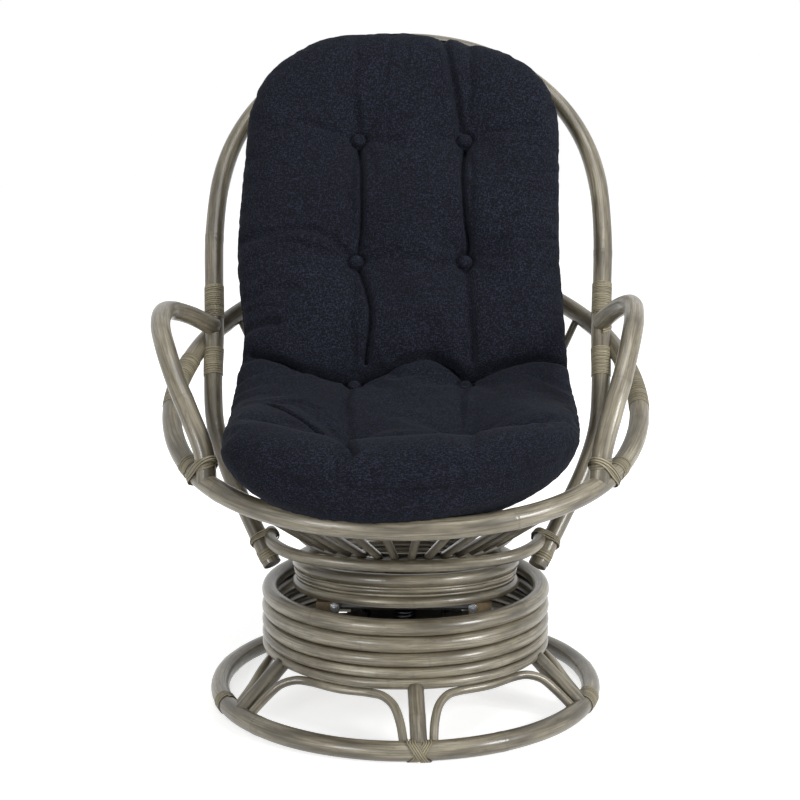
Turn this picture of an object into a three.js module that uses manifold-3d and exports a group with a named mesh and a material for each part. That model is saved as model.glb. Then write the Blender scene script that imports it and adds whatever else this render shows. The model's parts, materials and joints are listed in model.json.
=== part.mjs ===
// A rattan swivel rocker: a bowl seat with a high hoop back and a long tufted cushion, on a drum base.
// Millimetres and degrees. +Z is up, the sitter looks along -Y, and the swivel axis stands on X = Y = 0
// until the whole chair is moved onto the centre of its own footprint at the end.
import * as THREE from 'three';
import { mergeVertices } from 'three/addons/utils/BufferGeometryUtils.js';
import Module from 'manifold-3d';

const wasm = await Module();
wasm.setup();

// Driving dimensions

// Fits
const seatGap = 0.3; // between pieces that touch
const runningGap = 0.5; // between pieces that turn on each other

// Poles, each given by the distance from its axis to its flats
const mainPoleRadius = 15; // floor ring, rim, posts and arms
const hoopTopRadius = 12.2; // the back hoop grows thinner towards its top
const stubRadius = 13.2; // and towards its two feet
const legRadius = 12.3;
const archRadius = 6.6;
const seatHoopRadius = 9.3;
const basketRingRadius = 8;
const spindleRadius = 6;
const backSpindleRadius = 8;
const propRadius = 9;
const mainPoleSides = 8;
const thinPoleSides = 6;

// Base
const floorRingRadius = 294;
const floorRingSegments = 40;
const drumOuterRadius = 226;
const drumBottomHeight = 79;
const drumPoleRadii = [8.25, 8.25, 10.5, 12.5, 12.5]; // from the lowest ring up
const drumSegments = 30;
const legAngles = [0, 62, 141, 219, 298]; // round from the front, seen from above
const baseTurn = 5; // the base stands turned a little under the seat
const archSteps = 20;
const archSpread = 17; // degrees from a leg to where its arch meets the drum

// Boards and swivel in the drum
const boardWidth = 190;
const boardThickness = 17;
const boardHeight = 80; // of the underside, over the floor
const swivelPlateWidth = 180;
const plateThickness = 3;
const raceRadius = 62;
const raceWidth = 12;
const raceThickness = 2.4;
const ballRadius = 3.6;
const ballCount = 8;
const ballSegments = 8;
const ballRings = 4;
const bracketLength = 160;
const bracketWidth = 130;
const axleHeight = 138;
const axleRadius = 6;
const axleHeadRadius = 10;
const axleHeadThickness = 4;
const axleSides = 16;
const earThickness = 4;
const earRadius = 12;
const earFootLength = 60;
const innerEarOffset = 58; // middle of each ear of the lower bracket, from the centre
const springRadius = 15;
const springWireRadius = 1.9;
const springWireSides = 5;
const springTurns = 4;
const springTurnSteps = 8;
const springReach = 62; // from the axle to each spring

// Under-frame of the seat, which rests rocked back a little
const restTilt = 5;
const topPlateLength = 176;
const topPlateWidth = 256;
const topPlateRise = 13; // of the plate's underside over the axle
const railWidth = 34;
const railThickness = 17;
const railLength = 262;
const railOffset = 115;
const stackOuterRadius = 179;
const stackPoleRadii = [8.1, 2.1, 4.2, 10.2]; // from the lowest ring up
const thinRingShift = 3; // of the thin rings, outwards from the middle of the thickest
const stackSegments = 30;

// Seat hoops, all heights over the floor
const rimHalfWidth = 359;
const rimHalfDepth = 338;
const rimFrontHeight = 352;
const rimBackHeight = 648;
const rimSpliceAngle = 100; // from the front round to each end of the front rim
const rimStepAngle = 8;
const lowerHoopReach = 171;
const lowerHoopLift = 31.1; // of its front over the top of the stack
const lowerHoopRise = 15; // of its ends over its front
const basketRingHalfWidth = 168;
const basketRingHalfDepth = 160;
const basketRingLift = 44.3; // over the top of the stack
const basketRingShift = 5;
const basketRingTilt = 2.5;
const basketSegments = 24;
const propAngle = 152; // from the front round to each prop

// Back hoop, in a plane that leans back
const hoopLean = 30.3;
const hoopPlaneHeight = 540; // where the plane is hoopPlaneReach behind the swivel axis
const hoopPlaneReach = 118;
const hoopInset = 39; // from the rim's half width to its own
const hoopHalfWidth = rimHalfWidth - hoopInset;
const lowerHoopWidthShare = 0.65; // of the hoop's half width
const lowerHoopHalfWidth = lowerHoopWidthShare * hoopHalfWidth;
const hoopTopReach = 561; // up the plane from hoopPlaneHeight
const hoopFootDrop = 29.6; // of the ends of its feet under the front of the lower hoop
const postShare = 0.972; // of the hoop's half width, where the posts meet the arms
const hoopSteps = 56;
const backSpindleSpread = 112; // from the middle spindle to the top of each outer one
const backSpindleSag = 17; // behind the plane of the hoop
const backSpindleRimGap = 2; // between the rear rim and the flats of the spindles that pass it
const backSpindleFootAngle = 34; // from the back round the basket's ring to each outer spindle
const backSpindleRimAngle = 19.5; // from the back round the rear rim to each outer spindle
const backSpindleSteps = 14;

// Arms
const leftArmBulge = 70; // how far each arm swings out, which differs as it does on the real chair
const rightArmBulge = 45;
const armFootHalfWidth = 281;
const leftArmTopHeight = 602;
const rightArmTopHeight = 614;
const armSteps = 22;

// Cane bindings
const caneThickness = 1.2;
const caneLine = 1; // open line between neighbouring turns
const windingGap = 0.5; // under the turns, which bridge the slight bends of a pole
const ringBindingPitch = 5.4;
const neckMarginTurns = 1.6; // added to the turns of a ring binding for the length of its neck
const spliceBindingAngle = 96; // from the front round to the middle of each splice's binding
const spliceLength = 126;
const spliceTurns = 12;
const postBindingTurns = 5;
const armBindingLength = 22;
const armBindingTurns = 4;
const armBindingAngle = 60;
const footBindingLength = 17;
const footBindingTurns = 3;
const footBindingInset = 10.9; // up the plane of the hoop from the end of each foot

// Cushion
const cushionFrontReach = 350;
const cushionFrontHeight = 408; // of its middle layer at the front edge
const cushionHalfWidth = 270;
const cushionHalfThickness = 58;
const cushionFrontRounding = 105; // how far the front corners fall back
const cushionTopRounding = 195; // how far the top corners fall back
const cushionCrown = 46; // greatest rise of the sides over the middle layer
const cushionLoops = 48;
const tuftDepth = 28;
const tuftRadius = 56;
const channelDepth = 8;
const channelRadius = 22;
const leftTuftColumn = 80; // from the middle to each column of tufts and buttons
const rightTuftColumn = 93;
const foldDepth = 14; // of the crease where the seat turns into the back
const foldRadius = 16;
const buttonRadius = 11;
const buttonThickness = 8;
const buttonSink = 1.6;
const buttonSides = 12;

// Small helpers

const radians = THREE.MathUtils.degToRad;
const lerp = THREE.MathUtils.lerp;
const point = (x, y, z) => new THREE.Vector3(x, y, z);

// A place on a circle round the swivel axis, its angle counted from the front
const around = (radius, angle, height) =>
  point(radius * Math.sin(radians(angle)), -radius * Math.cos(radians(angle)), height);

const cornerRadius = (flatRadius, sides) => flatRadius / Math.cos(Math.PI / sides);

// The corners of a regular outline that has a flat at the bottom
function corners(flatRadius, sides) {
  return Array.from({ length: sides }, (_, k) => {
    const angle = (Math.PI * (2 * k + 1)) / sides - Math.PI / 2;
    const reach = cornerRadius(flatRadius, sides);
    return new THREE.Vector2(reach * Math.cos(angle), reach * Math.sin(angle));
  });
}

function solidOf(geometry) {
  const bare = geometry.clone();
  for (const name of Object.keys(bare.attributes)) if (name !== 'position') bare.deleteAttribute(name);
  const merged = mergeVertices(bare);
  return new wasm.Manifold(
    new wasm.Mesh({
      numProp: 3,
      vertProperties: merged.attributes.position.array,
      triVerts: new Uint32Array(merged.index.array),
    }),
  );
}

function geometryOf(solid) {
  const mesh = solid.getMesh();
  const geometry = new THREE.BufferGeometry();
  geometry.setAttribute('position', new THREE.BufferAttribute(new Float32Array(mesh.vertProperties), 3));
  geometry.setIndex(new THREE.BufferAttribute(new Uint32Array(mesh.triVerts), 1));
  geometry.computeVertexNormals();
  return geometry;
}

// A piece with its neighbours cut out of it, as a joiner copes the end of a pole
const cope = (geometry, ...neighbours) =>
  geometryOf(neighbours.reduce((solid, other) => solid.subtract(solidOf(other)), solidOf(geometry)));

const join = (...geometries) => geometryOf(geometries.map(solidOf).reduce((sum, next) => sum.add(next)));

const common = (first, second) => geometryOf(solidOf(first).intersect(solidOf(second)));

// A closed skin over a row of loops that hold equally many points
function skin(loops) {
  const count = loops[0].length;
  const positions = loops.flat().flatMap((p) => [p.x, p.y, p.z]);
  const faces = [];
  for (let i = 0; i < loops.length - 1; i++)
    for (let k = 0; k < count; k++) {
      const a = i * count + k;
      const b = i * count + ((k + 1) % count);
      faces.push(a, b, b + count, a, b + count, a + count);
    }
  for (const [start, flip] of [[0, true], [(loops.length - 1) * count, false]])
    for (let k = 1; k < count - 1; k++)
      faces.push(start, start + (flip ? k + 1 : k), start + (flip ? k : k + 1));
  const geometry = new THREE.BufferGeometry();
  geometry.setAttribute('position', new THREE.Float32BufferAttribute(positions, 3));
  geometry.setIndex(faces);
  if (signedVolume(geometry) < 0) {
    for (let i = 0; i < faces.length; i += 3) [faces[i + 1], faces[i + 2]] = [faces[i + 2], faces[i + 1]];
    geometry.setIndex(faces);
  }
  geometry.computeVertexNormals();
  return geometry;
}

function signedVolume(geometry) {
  const position = geometry.attributes.position;
  const index = geometry.index.array;
  const [a, b, c] = [new THREE.Vector3(), new THREE.Vector3(), new THREE.Vector3()];
  let sum = 0;
  for (let i = 0; i < index.length; i += 3) {
    a.fromBufferAttribute(position, index[i]);
    b.fromBufferAttribute(position, index[i + 1]);
    c.fromBufferAttribute(position, index[i + 2]);
    sum += a.dot(b.cross(c));
  }
  return sum;
}

// A level pole ring round the swivel axis
function levelRing(meanRadius, poleRadius, height, sides, segments) {
  const profile = corners(poleRadius, sides).map((c) => new THREE.Vector2(meanRadius + c.x, height + c.y));
  profile.push(profile[0].clone());
  return new THREE.LatheGeometry(profile, segments).rotateX(Math.PI / 2);
}

// A pole that follows a path, and whose radius may change along it
const samplesPerStep = 10;
class Pole {
  constructor(path, radius, sides, steps, radiusAt = () => radius) {
    Object.assign(this, { path, radius, sides, steps, radiusAt });
    this.centres = path.getSpacedPoints(steps);
    this.frames = path.computeFrenetFrames(steps, false);
    this.length = path.getLength();
  }

  // The solid pole, made fatter by the given allowance
  solid(allowance = 0) {
    const shape = new THREE.Shape(corners(this.radius + allowance, this.sides));
    const geometry = new THREE.ExtrudeGeometry(shape, {
      extrudePath: this.path,
      steps: this.steps,
      bevelEnabled: false,
    });
    const position = geometry.attributes.position;
    const place = new THREE.Vector3();
    for (let i = 0; i < position.count; i++) {
      place.fromBufferAttribute(position, i);
      const gaps = this.centres.map((centre) => centre.distanceToSquared(place));
      const nearest = gaps.indexOf(Math.min(...gaps));
      const wanted = this.radiusAt(nearest / this.steps) + allowance;
      place.sub(this.centres[nearest]).multiplyScalar(wanted / (this.radius + allowance));
      place.add(this.centres[nearest]);
      position.setXYZ(i, place.x, place.y, place.z);
    }
    return geometry;
  }

  // The piece's neighbours are coped to this
  fat() {
    return this.solid(seatGap);
  }

  // The share of its length at which the pole passes nearest to a place
  shareNear(place) {
    const samples = this.path.getSpacedPoints(this.steps * samplesPerStep);
    const gaps = samples.map((sample) => sample.distanceToSquared(place));
    return gaps.indexOf(Math.min(...gaps)) / (samples.length - 1);
  }

  // A place beside the pole: a share of its length, a corner of its section and a height over its flats
  beside(share, corner, lift) {
    const at = THREE.MathUtils.clamp(share, 0, 1) * this.steps;
    const low = Math.min(Math.floor(at), this.steps - 1);
    const part = at - low;
    const blend = (list) => list[low].clone().lerp(list[low + 1], part);
    const radius = lerp(this.radiusAt(low / this.steps), this.radiusAt((low + 1) / this.steps), part);
    const c = corners(radius + lift, this.sides)[corner % this.sides];
    return blend(this.centres)
      .add(blend(this.frames.normals).multiplyScalar(c.x))
      .add(blend(this.frames.binormals).multiplyScalar(c.y));
  }
}

// A flat cane strip wound round a pole, one unbroken turn after another, centred on a share of its length
function caneWinding(name, pole, middleShare, length, turns) {
  const stepCount = turns * pole.sides;
  const pitch = length / turns;
  const halfStrip = (pitch - caneLine) / 2;
  const loops = [];
  for (let k = 0; k <= stepCount; k++) {
    const along = (k / pole.sides - turns / 2) * pitch;
    const share = (offset) => middleShare + (along + offset) / pole.length;
    const edge = (side, lift) => pole.beside(share(side * halfStrip), k, lift);
    loops.push([
      edge(-1, windingGap),
      edge(1, windingGap),
      edge(1, windingGap + caneThickness),
      edge(-1, windingGap + caneThickness),
    ]);
  }
  let least = Infinity;
  for (let k = 0; k + pole.sides < loops.length; k++)
    for (const [near, far] of [[1, 0], [2, 3]])
      least = Math.min(least, loops[k][near].distanceTo(loops[k + pole.sides][far]));
  console.log(`${name}: least gap between turns ${least.toFixed(2)} mm`);
  return skin(loops);
}

// Finishes
const finish = (color, roughness, metalness = 0) => () =>
  new THREE.MeshStandardMaterial({ color, roughness, metalness });
const rattan = finish(0x8c8470, 0.45);
const cane = finish(0xa39c86, 0.5);
const plainWood = finish(0x9b8766, 0.7);
const blackSteel = finish(0x1b1b1c, 0.45, 0.6);
const springSteel = finish(0x55585c, 0.4, 0.9);
const bearingSteel = finish(0xb9bdc1, 0.3, 1);
const linen = finish(0x20242e, 0.95);

function piece(name, geometry, material) {
  const mesh = new THREE.Mesh(geometry, material());
  mesh.name = name;
  return mesh;
}

// Base: a floor ring, five legs and arches, and a drum of five stacked rings

const base = new THREE.Group();
base.rotation.z = radians(baseTurn);

const floorRingHeight = mainPoleRadius;
const floorRing = (allowance) =>
  levelRing(floorRingRadius, mainPoleRadius + allowance, floorRingHeight, mainPoleSides, floorRingSegments);

// The ring stands on the floor between its bindings, which are let into necks in the pole
const ringBindings = [
  { name: 'front_ring_binding', angle: 0, turns: 5 },
  { name: 'right_ring_binding', angle: 68, turns: 6 },
  { name: 'left_ring_binding', angle: 287, turns: 3 },
];
const neckRadius = mainPoleRadius - caneThickness - windingGap - seatGap;
const neckZone = ({ angle, turns }, allowance) => {
  const place = around(floorRingRadius, angle, floorRingHeight);
  const length = (turns + neckMarginTurns) * ringBindingPitch + 2 * allowance;
  return new THREE.BoxGeometry(length, 4 * mainPoleRadius, 4 * mainPoleRadius)
    .rotateZ(radians(angle))
    .translate(place.x, place.y, place.z);
};
const neckPole = levelRing(floorRingRadius, neckRadius, floorRingHeight, mainPoleSides, floorRingSegments);
const necks = ringBindings.map((binding) => common(neckPole, neckZone(binding, seatGap)));
const cutRing = cope(floorRing(0), ...ringBindings.map((binding) => neckZone(binding, 0)));
base.add(piece('floor_ring', join(cutRing, ...necks), rattan));

const drumRings = [];
let drumTopHeight = drumBottomHeight;
for (const poleRadius of drumPoleRadii) {
  const mean = drumOuterRadius - poleRadius;
  const height = drumTopHeight + poleRadius;
  drumRings.push({
    mean,
    poleRadius,
    height,
    solid: (allowance) => levelRing(mean, poleRadius + allowance, height, mainPoleSides, drumSegments),
  });
  drumTopHeight = height + poleRadius + seatGap;
}
drumRings.forEach((ring, i) => base.add(piece(`drum_ring_${drumRings.length - i}`, ring.solid(0), rattan)));
const lowestDrumRing = drumRings[0];

const legNames = ['front', 'right', 'back_right', 'back_left', 'left'];
const legs = legAngles.map((angle) => {
  const head = around(lowestDrumRing.mean, angle, lowestDrumRing.height);
  const foot = around(floorRingRadius, angle, floorRingHeight);
  return new Pole(new THREE.LineCurve3(head, foot), legRadius, mainPoleSides, 1);
});
legs.forEach((leg, i) => {
  const fitted = cope(leg.solid(), floorRing(seatGap), lowestDrumRing.solid(seatGap));
  base.add(piece(`${legNames[i]}_leg`, fitted, rattan));
});

// Each arch springs from the floor ring beside one leg, runs under the drum and comes down beside the next
const archTopHeight = drumBottomHeight - seatGap - cornerRadius(archRadius, thinPoleSides);
const archFootOffset =
  cornerRadius(legRadius, mainPoleSides) + cornerRadius(archRadius, thinPoleSides) + seatGap;
// Along the leg: share of the way from the drum down to the floor ring, and share of the spread to the leg
const archRiseShares = [
  [1, 0],
  [0.8, 0.02],
  [0.56, 0.08],
  [0.33, 0.24],
  [0.12, 0.58],
];
function archPath(fromAngle, toAngle) {
  const half = (angle, side) =>
    archRiseShares.map(([down, spreadShare]) => {
      const radius = lerp(lowestDrumRing.mean, floorRingRadius, down);
      const height = Math.min(lerp(lowestDrumRing.height, floorRingHeight, down), archTopHeight);
      const beside = THREE.MathUtils.radToDeg(archFootOffset / radius);
      return around(radius, angle + side * lerp(beside, archSpread, spreadShare), height);
    });
  const middle = (fromAngle + toAngle) / 2;
  const top = [fromAngle + archSpread, middle, toAngle - archSpread].map((angle) =>
    around(lowestDrumRing.mean, angle, archTopHeight),
  );
  return new THREE.CatmullRomCurve3([...half(fromAngle, 1), ...top, ...half(toAngle, -1).reverse()]);
}
legAngles.forEach((angle, i) => {
  const nextAngle = i + 1 < legAngles.length ? legAngles[i + 1] : legAngles[0] + 360;
  const next = (i + 1) % legAngles.length;
  const arch = new Pole(archPath(angle, nextAngle), archRadius, thinPoleSides, archSteps);
  const neighbours = [floorRing(seatGap), lowestDrumRing.solid(seatGap), legs[i].fat(), legs[next].fat()];
  const fitted = cope(arch.solid(), ...neighbours);
  base.add(piece(`${legNames[i]}_arch`, fitted, rattan));
});

// Bindings on the floor ring
class LevelCircle extends THREE.Curve {
  constructor(radius, height, from, to) {
    super();
    Object.assign(this, { radius, height, from, to });
  }

  getPoint(share) {
    return around(this.radius, lerp(this.from, this.to, share), this.height);
  }
}
const segmentAngle = 360 / floorRingSegments;
for (const { name, angle, turns } of ringBindings) {
  const from = segmentAngle * (Math.floor(angle / segmentAngle) - 1);
  const arc = new LevelCircle(floorRingRadius, floorRingHeight, from, from + segmentAngle * 3);
  const stretch = new Pole(arc, neckRadius, mainPoleSides, 3);
  const share = (angle - from) / (3 * segmentAngle);
  base.add(piece(name, caneWinding(name, stretch, share, turns * ringBindingPitch, turns), cane));
}

const chair = new THREE.Group();
chair.add(base);

// Swivel: a board across the drum carries a plate, a ring of balls, a turning plate and the rocker's bracket

const slab = (width, length, thickness, x, y, bottom) =>
  new THREE.BoxGeometry(width, length, thickness).translate(x, y, bottom + thickness / 2);

const drumInnerRadius = drumOuterRadius - 2 * drumPoleRadii[0] - seatGap;
const drumInside = new THREE.CylinderGeometry(
  drumInnerRadius,
  drumInnerRadius,
  2 * drumTopHeight,
  drumSegments,
).rotateX(Math.PI / 2);
const boardBlank = slab(2 * drumOuterRadius, boardWidth, boardThickness, 0, 0, boardHeight);
const board = common(boardBlank, drumInside);
base.add(piece('mechanism_board', board, plainWood));

const basePlateHeight = boardHeight + boardThickness + seatGap;
const basePlate = slab(swivelPlateWidth, swivelPlateWidth, plateThickness, 0, 0, basePlateHeight);
base.add(piece('swivel_base_plate', basePlate, blackSteel));

const swivel = new THREE.Group();
chair.add(swivel);

const ballHeight = basePlateHeight + plateThickness + seatGap + ballRadius;
const raceCornerShares = [
  [-0.5, -0.5],
  [0.5, -0.5],
  [0.5, 0.5],
  [-0.5, 0.5],
  [-0.5, -0.5],
];
const raceProfile = raceCornerShares.map(
  ([out, up]) => new THREE.Vector2(raceRadius + out * raceWidth, ballHeight + up * raceThickness),
);
const race = new THREE.LatheGeometry(raceProfile, drumSegments).rotateX(Math.PI / 2);
const balls = Array.from({ length: ballCount }, (_, i) => {
  const place = around(raceRadius, (360 * i) / ballCount, ballHeight);
  return new THREE.SphereGeometry(ballRadius, ballSegments, ballRings)
    .rotateX(Math.PI / 2)
    .translate(place.x, place.y, place.z);
});
swivel.add(piece('bearing_race', join(race, ...balls), bearingSteel));

const swivelPlateHeight = ballHeight + ballRadius + seatGap;
const swivelPlate = slab(swivelPlateWidth, swivelPlateWidth, plateThickness, 0, 0, swivelPlateHeight);
swivel.add(piece('swivel_plate', swivelPlate, blackSteel));

// Ears that the rocker's axle runs through, drawn flat as seen from the side and given their thickness along X
function ear(footLength, footHeight, offset) {
  const shape = new THREE.Shape();
  const up = Math.sign(footHeight);
  shape.moveTo(footLength / 2, footHeight);
  shape.lineTo(earRadius, 0);
  shape.absarc(0, 0, earRadius, 0, -up * Math.PI, up > 0);
  shape.lineTo(-footLength / 2, footHeight);
  shape.closePath();
  const hole = new THREE.Path();
  hole.absarc(0, 0, axleRadius + seatGap, 0, 2 * Math.PI);
  shape.holes.push(hole);
  const flat = new THREE.ExtrudeGeometry(shape, {
    depth: earThickness,
    bevelEnabled: false,
    curveSegments: axleSides / 2,
  });
  const turned = new THREE.Matrix4().makeBasis(point(0, 1, 0), point(0, 0, 1), point(1, 0, 0));
  return flat.translate(0, 0, offset - earThickness / 2).applyMatrix4(turned);
}

const bracketHeight = swivelPlateHeight + plateThickness + seatGap;
const bracketTop = bracketHeight + plateThickness;
const innerEarDepth = axleHeight - bracketTop + plateThickness / 2;
const innerEar = (side) =>
  ear(earFootLength, -innerEarDepth, side * innerEarOffset).translate(0, 0, axleHeight);
const bracketPlate = slab(bracketWidth, bracketLength, plateThickness, 0, 0, bracketHeight);
swivel.add(piece('rocker_bracket', join(bracketPlate, innerEar(1), innerEar(-1)), blackSteel));

const outerEarOffset = innerEarOffset + earThickness + runningGap;
const axleHalfLength = outerEarOffset + earThickness / 2 + runningGap;
const axleProfile = [
  [0, -axleHalfLength - axleHeadThickness],
  [axleHeadRadius, -axleHalfLength - axleHeadThickness],
  [axleHeadRadius, -axleHalfLength],
  [axleRadius, -axleHalfLength],
  [axleRadius, axleHalfLength],
  [axleHeadRadius, axleHalfLength],
  [axleHeadRadius, axleHalfLength + axleHeadThickness],
  [0, axleHalfLength + axleHeadThickness],
].map(([radius, along]) => new THREE.Vector2(radius, along));
const axle = new THREE.LatheGeometry(axleProfile, axleSides).rotateZ(-Math.PI / 2).translate(0, 0, axleHeight);
swivel.add(piece('rock_axle', axle, bearingSteel));

// Seat: it rocks on the axle and rests tilted back

const seat = new THREE.Group();
chair.add(seat);
const tilt = new THREE.Matrix4()
  .makeTranslation(0, 0, axleHeight)
  .multiply(new THREE.Matrix4().makeRotationX(-radians(restTilt)));
const tilted = (geometry) => geometry.clone().applyMatrix4(tilt);

const outerEar = (side) => ear(topPlateLength / 2, topPlateRise + plateThickness / 2, side * outerEarOffset);
const topPlate = slab(topPlateWidth, topPlateLength, plateThickness, 0, 0, topPlateRise);
seat.add(piece('rocker_top_plate', tilted(join(topPlate, outerEar(1), outerEar(-1))), blackSteel));

class Helix extends THREE.Curve {
  constructor(radius, y, from, to, turns) {
    super();
    Object.assign(this, { radius, y, from, to, turns });
  }

  getPoint(share) {
    const height = lerp(this.from, this.to, share);
    return around(this.radius, 360 * this.turns * share, height).add(point(0, this.y, 0));
  }
}
const springBottom = bracketTop + seatGap;
const springBulk = springRadius + cornerRadius(springWireRadius, springWireSides);
for (const [name, side] of [['front_spring', -1], ['rear_spring', 1]]) {
  const lowestReach = springReach + side * springBulk;
  const lowestPlace = point(0, side * lowestReach, topPlateRise).applyMatrix4(tilt);
  const wireBulk = cornerRadius(springWireRadius, springWireSides);
  const helix = new Helix(
    springRadius,
    side * springReach,
    springBottom + wireBulk,
    lowestPlace.z - seatGap - wireBulk,
    springTurns,
  );
  const wire = new Pole(helix, springWireRadius, springWireSides, springTurns * springTurnSteps);
  const pitch = (helix.to - helix.from) / springTurns;
  console.log(`${name}: least gap between turns ${(pitch - 2 * wireBulk).toFixed(2)} mm`);
  seat.add(piece(name, wire.solid(), springSteel));
}

const railBottom = topPlateRise + plateThickness + seatGap;
for (const [name, side] of [['left_rail', -1], ['right_rail', 1]]) {
  const rail = slab(railWidth, railLength, railThickness, side * railOffset, 0, railBottom);
  seat.add(piece(name, tilted(rail), plainWood));
}

const stackRings = [];
let stackHeight = railBottom + railThickness + seatGap;
for (const poleRadius of stackPoleRadii) {
  const sides = poleRadius < spindleRadius ? thinPoleSides : mainPoleSides;
  const height = stackHeight + poleRadius;
  const thick = Math.max(...stackPoleRadii);
  const mean =
    sides === thinPoleSides
      ? stackOuterRadius - cornerRadius(thick, mainPoleSides) + thinRingShift
      : stackOuterRadius - cornerRadius(poleRadius, sides);
  stackRings.push((allowance) =>
    tilted(levelRing(mean, poleRadius + allowance, height, sides, stackSegments)),
  );
  stackHeight = height + poleRadius + seatGap;
}
stackRings.forEach((ring, i) => seat.add(piece(`stack_ring_${stackRings.length - i}`, ring(0), rattan)));
const topStackRing = stackRings.at(-1);
const stackTopHeight = point(0, 0, stackHeight - seatGap).applyMatrix4(tilt).z;

// A smooth value between the rows of a table, each row a share and the value there
function between(table, share) {
  const found = table.findIndex(([at]) => at >= share);
  const next = found < 0 ? table.length - 1 : Math.max(found, 1);
  const rise = (i, j) => (table[j][1] - table[i][1]) / (table[j][0] - table[i][0]);
  const slope = (i) => (i > 0 && i < table.length - 1 ? rise(i - 1, i + 1) : 0);
  const [[start, from], [end, to]] = [table[next - 1], table[next]];
  const width = end - start;
  const t = THREE.MathUtils.clamp((share - start) / width, 0, 1);
  const blend = t * t * (3 - 2 * t);
  const leave = t * (1 - t) * (1 - t) * width * slope(next - 1);
  const arrive = t * t * (t - 1) * width * slope(next);
  return lerp(from, to, blend) + leave + arrive;
}

// Rim of the bowl, in a front and a rear piece: its height by the share of the way from front to back
const rimHeightShares = [
  [0, 0],
  [0.111, 0.0135],
  [0.222, 0.064],
  [0.333, 0.159],
  [0.444, 0.311],
  [0.5, 0.3986],
  [0.5556, 0.493],
  [0.65, 0.662],
  [0.7778, 0.845],
  [0.8889, 0.959],
  [1, 1],
];
function rimPlace(angle) {
  const folded = Math.abs(THREE.MathUtils.euclideanModulo(angle + 180, 360) - 180) / 180;
  const height = lerp(rimFrontHeight, rimBackHeight, between(rimHeightShares, folded));
  return around(1, angle, height).multiply(point(rimHalfWidth, rimHalfDepth, 1));
}

// A stretch of the rim, whose section always keeps one flat facing outwards
class RimStretch extends THREE.Curve {
  constructor(from, to) {
    super();
    Object.assign(this, { from, to });
  }

  getPoint(share) {
    return rimPlace(lerp(this.from, this.to, share));
  }

  getSpacedPoints(steps) {
    return this.getPoints(steps);
  }

  computeFrenetFrames(steps) {
    const frames = { tangents: [], normals: [], binormals: [] };
    for (let i = 0; i <= steps; i++) {
      const tangent = this.getTangent(i / steps);
      const normal = around(1, lerp(this.from, this.to, i / steps), 0);
      normal.addScaledVector(tangent, -normal.dot(tangent)).normalize();
      frames.tangents.push(tangent);
      frames.normals.push(normal);
      frames.binormals.push(tangent.clone().cross(normal));
    }
    return frames;
  }
}
const rimPole = (from, to) =>
  new Pole(new RimStretch(from, to), mainPoleRadius, mainPoleSides, Math.round((to - from) / rimStepAngle));
const seamAngle = THREE.MathUtils.radToDeg(seatGap / rimHalfWidth);
const frontRim = rimPole(seamAngle - rimSpliceAngle, rimSpliceAngle - seamAngle);
const rearRim = rimPole(rimSpliceAngle + seamAngle, 360 - rimSpliceAngle - seamAngle);
seat.add(piece('front_rim', frontRim.solid(), rattan));
seat.add(piece('rear_rim', rearRim.solid(), rattan));
for (const [name, side] of [['left_rim_binding', -1], ['right_rim_binding', 1]]) {
  const middle = side * rimSpliceAngle;
  const stretch = rimPole(middle - 3 * rimStepAngle, middle + 3 * rimStepAngle);
  const share = 0.5 + (side * spliceBindingAngle - middle) / (6 * rimStepAngle);
  seat.add(piece(name, caneWinding(name, stretch, share, spliceLength, spliceTurns), cane));
}

// Back hoop: shares of its half width and of its reach down or up the plane, for one half from the foot up
const hoopShares = [
  [0.634, -1],
  [0.684, -0.9174],
  [0.766, -0.7737],
  [0.872, -0.5765],
  [0.944, -0.3823],
  [0.969, -0.1468],
  [postShare, 0.01],
  [0.988, 0.175],
  [1, 0.352],
  [0.98, 0.524],
  [0.914, 0.658],
  [0.788, 0.782],
  [0.598, 0.89],
  [0.325, 0.971],
];
const hoopPlace = (out, along, back = 0) =>
  point(
    out,
    hoopPlaneReach + along * Math.sin(radians(hoopLean)) + back * Math.cos(radians(hoopLean)),
    hoopPlaneHeight + along * Math.cos(radians(hoopLean)) - back * Math.sin(radians(hoopLean)),
  );
const lowerHoopHeight = stackTopHeight + lowerHoopLift;
const hoopFootReach = (hoopPlaneHeight - lowerHoopHeight + hoopFootDrop) / Math.cos(radians(hoopLean));
const hoopSide = (side) =>
  hoopShares.map(([out, along]) =>
    hoopPlace(side * out * hoopHalfWidth, along * (along < 0 ? hoopFootReach : hoopTopReach)),
  );
const hoopPath = new THREE.CatmullRomCurve3([
  ...hoopSide(-1),
  hoopPlace(0, hoopTopReach),
  ...hoopSide(1).reverse(),
]);
// The hoop's thickness from either foot to its top
const hoopRadiusShares = [
  [0, stubRadius],
  [0.14, stubRadius],
  [0.3, mainPoleRadius],
  [0.62, mainPoleRadius],
  [0.86, hoopTopRadius],
  [1, hoopTopRadius],
];
const hoopRadiusAt = (share) => between(hoopRadiusShares, 1 - Math.abs(1 - 2 * share));
const hoop = new Pole(hoopPath, mainPoleRadius, mainPoleSides, hoopSteps, hoopRadiusAt);
const hoopSolid = cope(hoop.solid(), frontRim.fat(), rearRim.fat());
seat.add(piece('back_hoop', hoopSolid, rattan));

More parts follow.
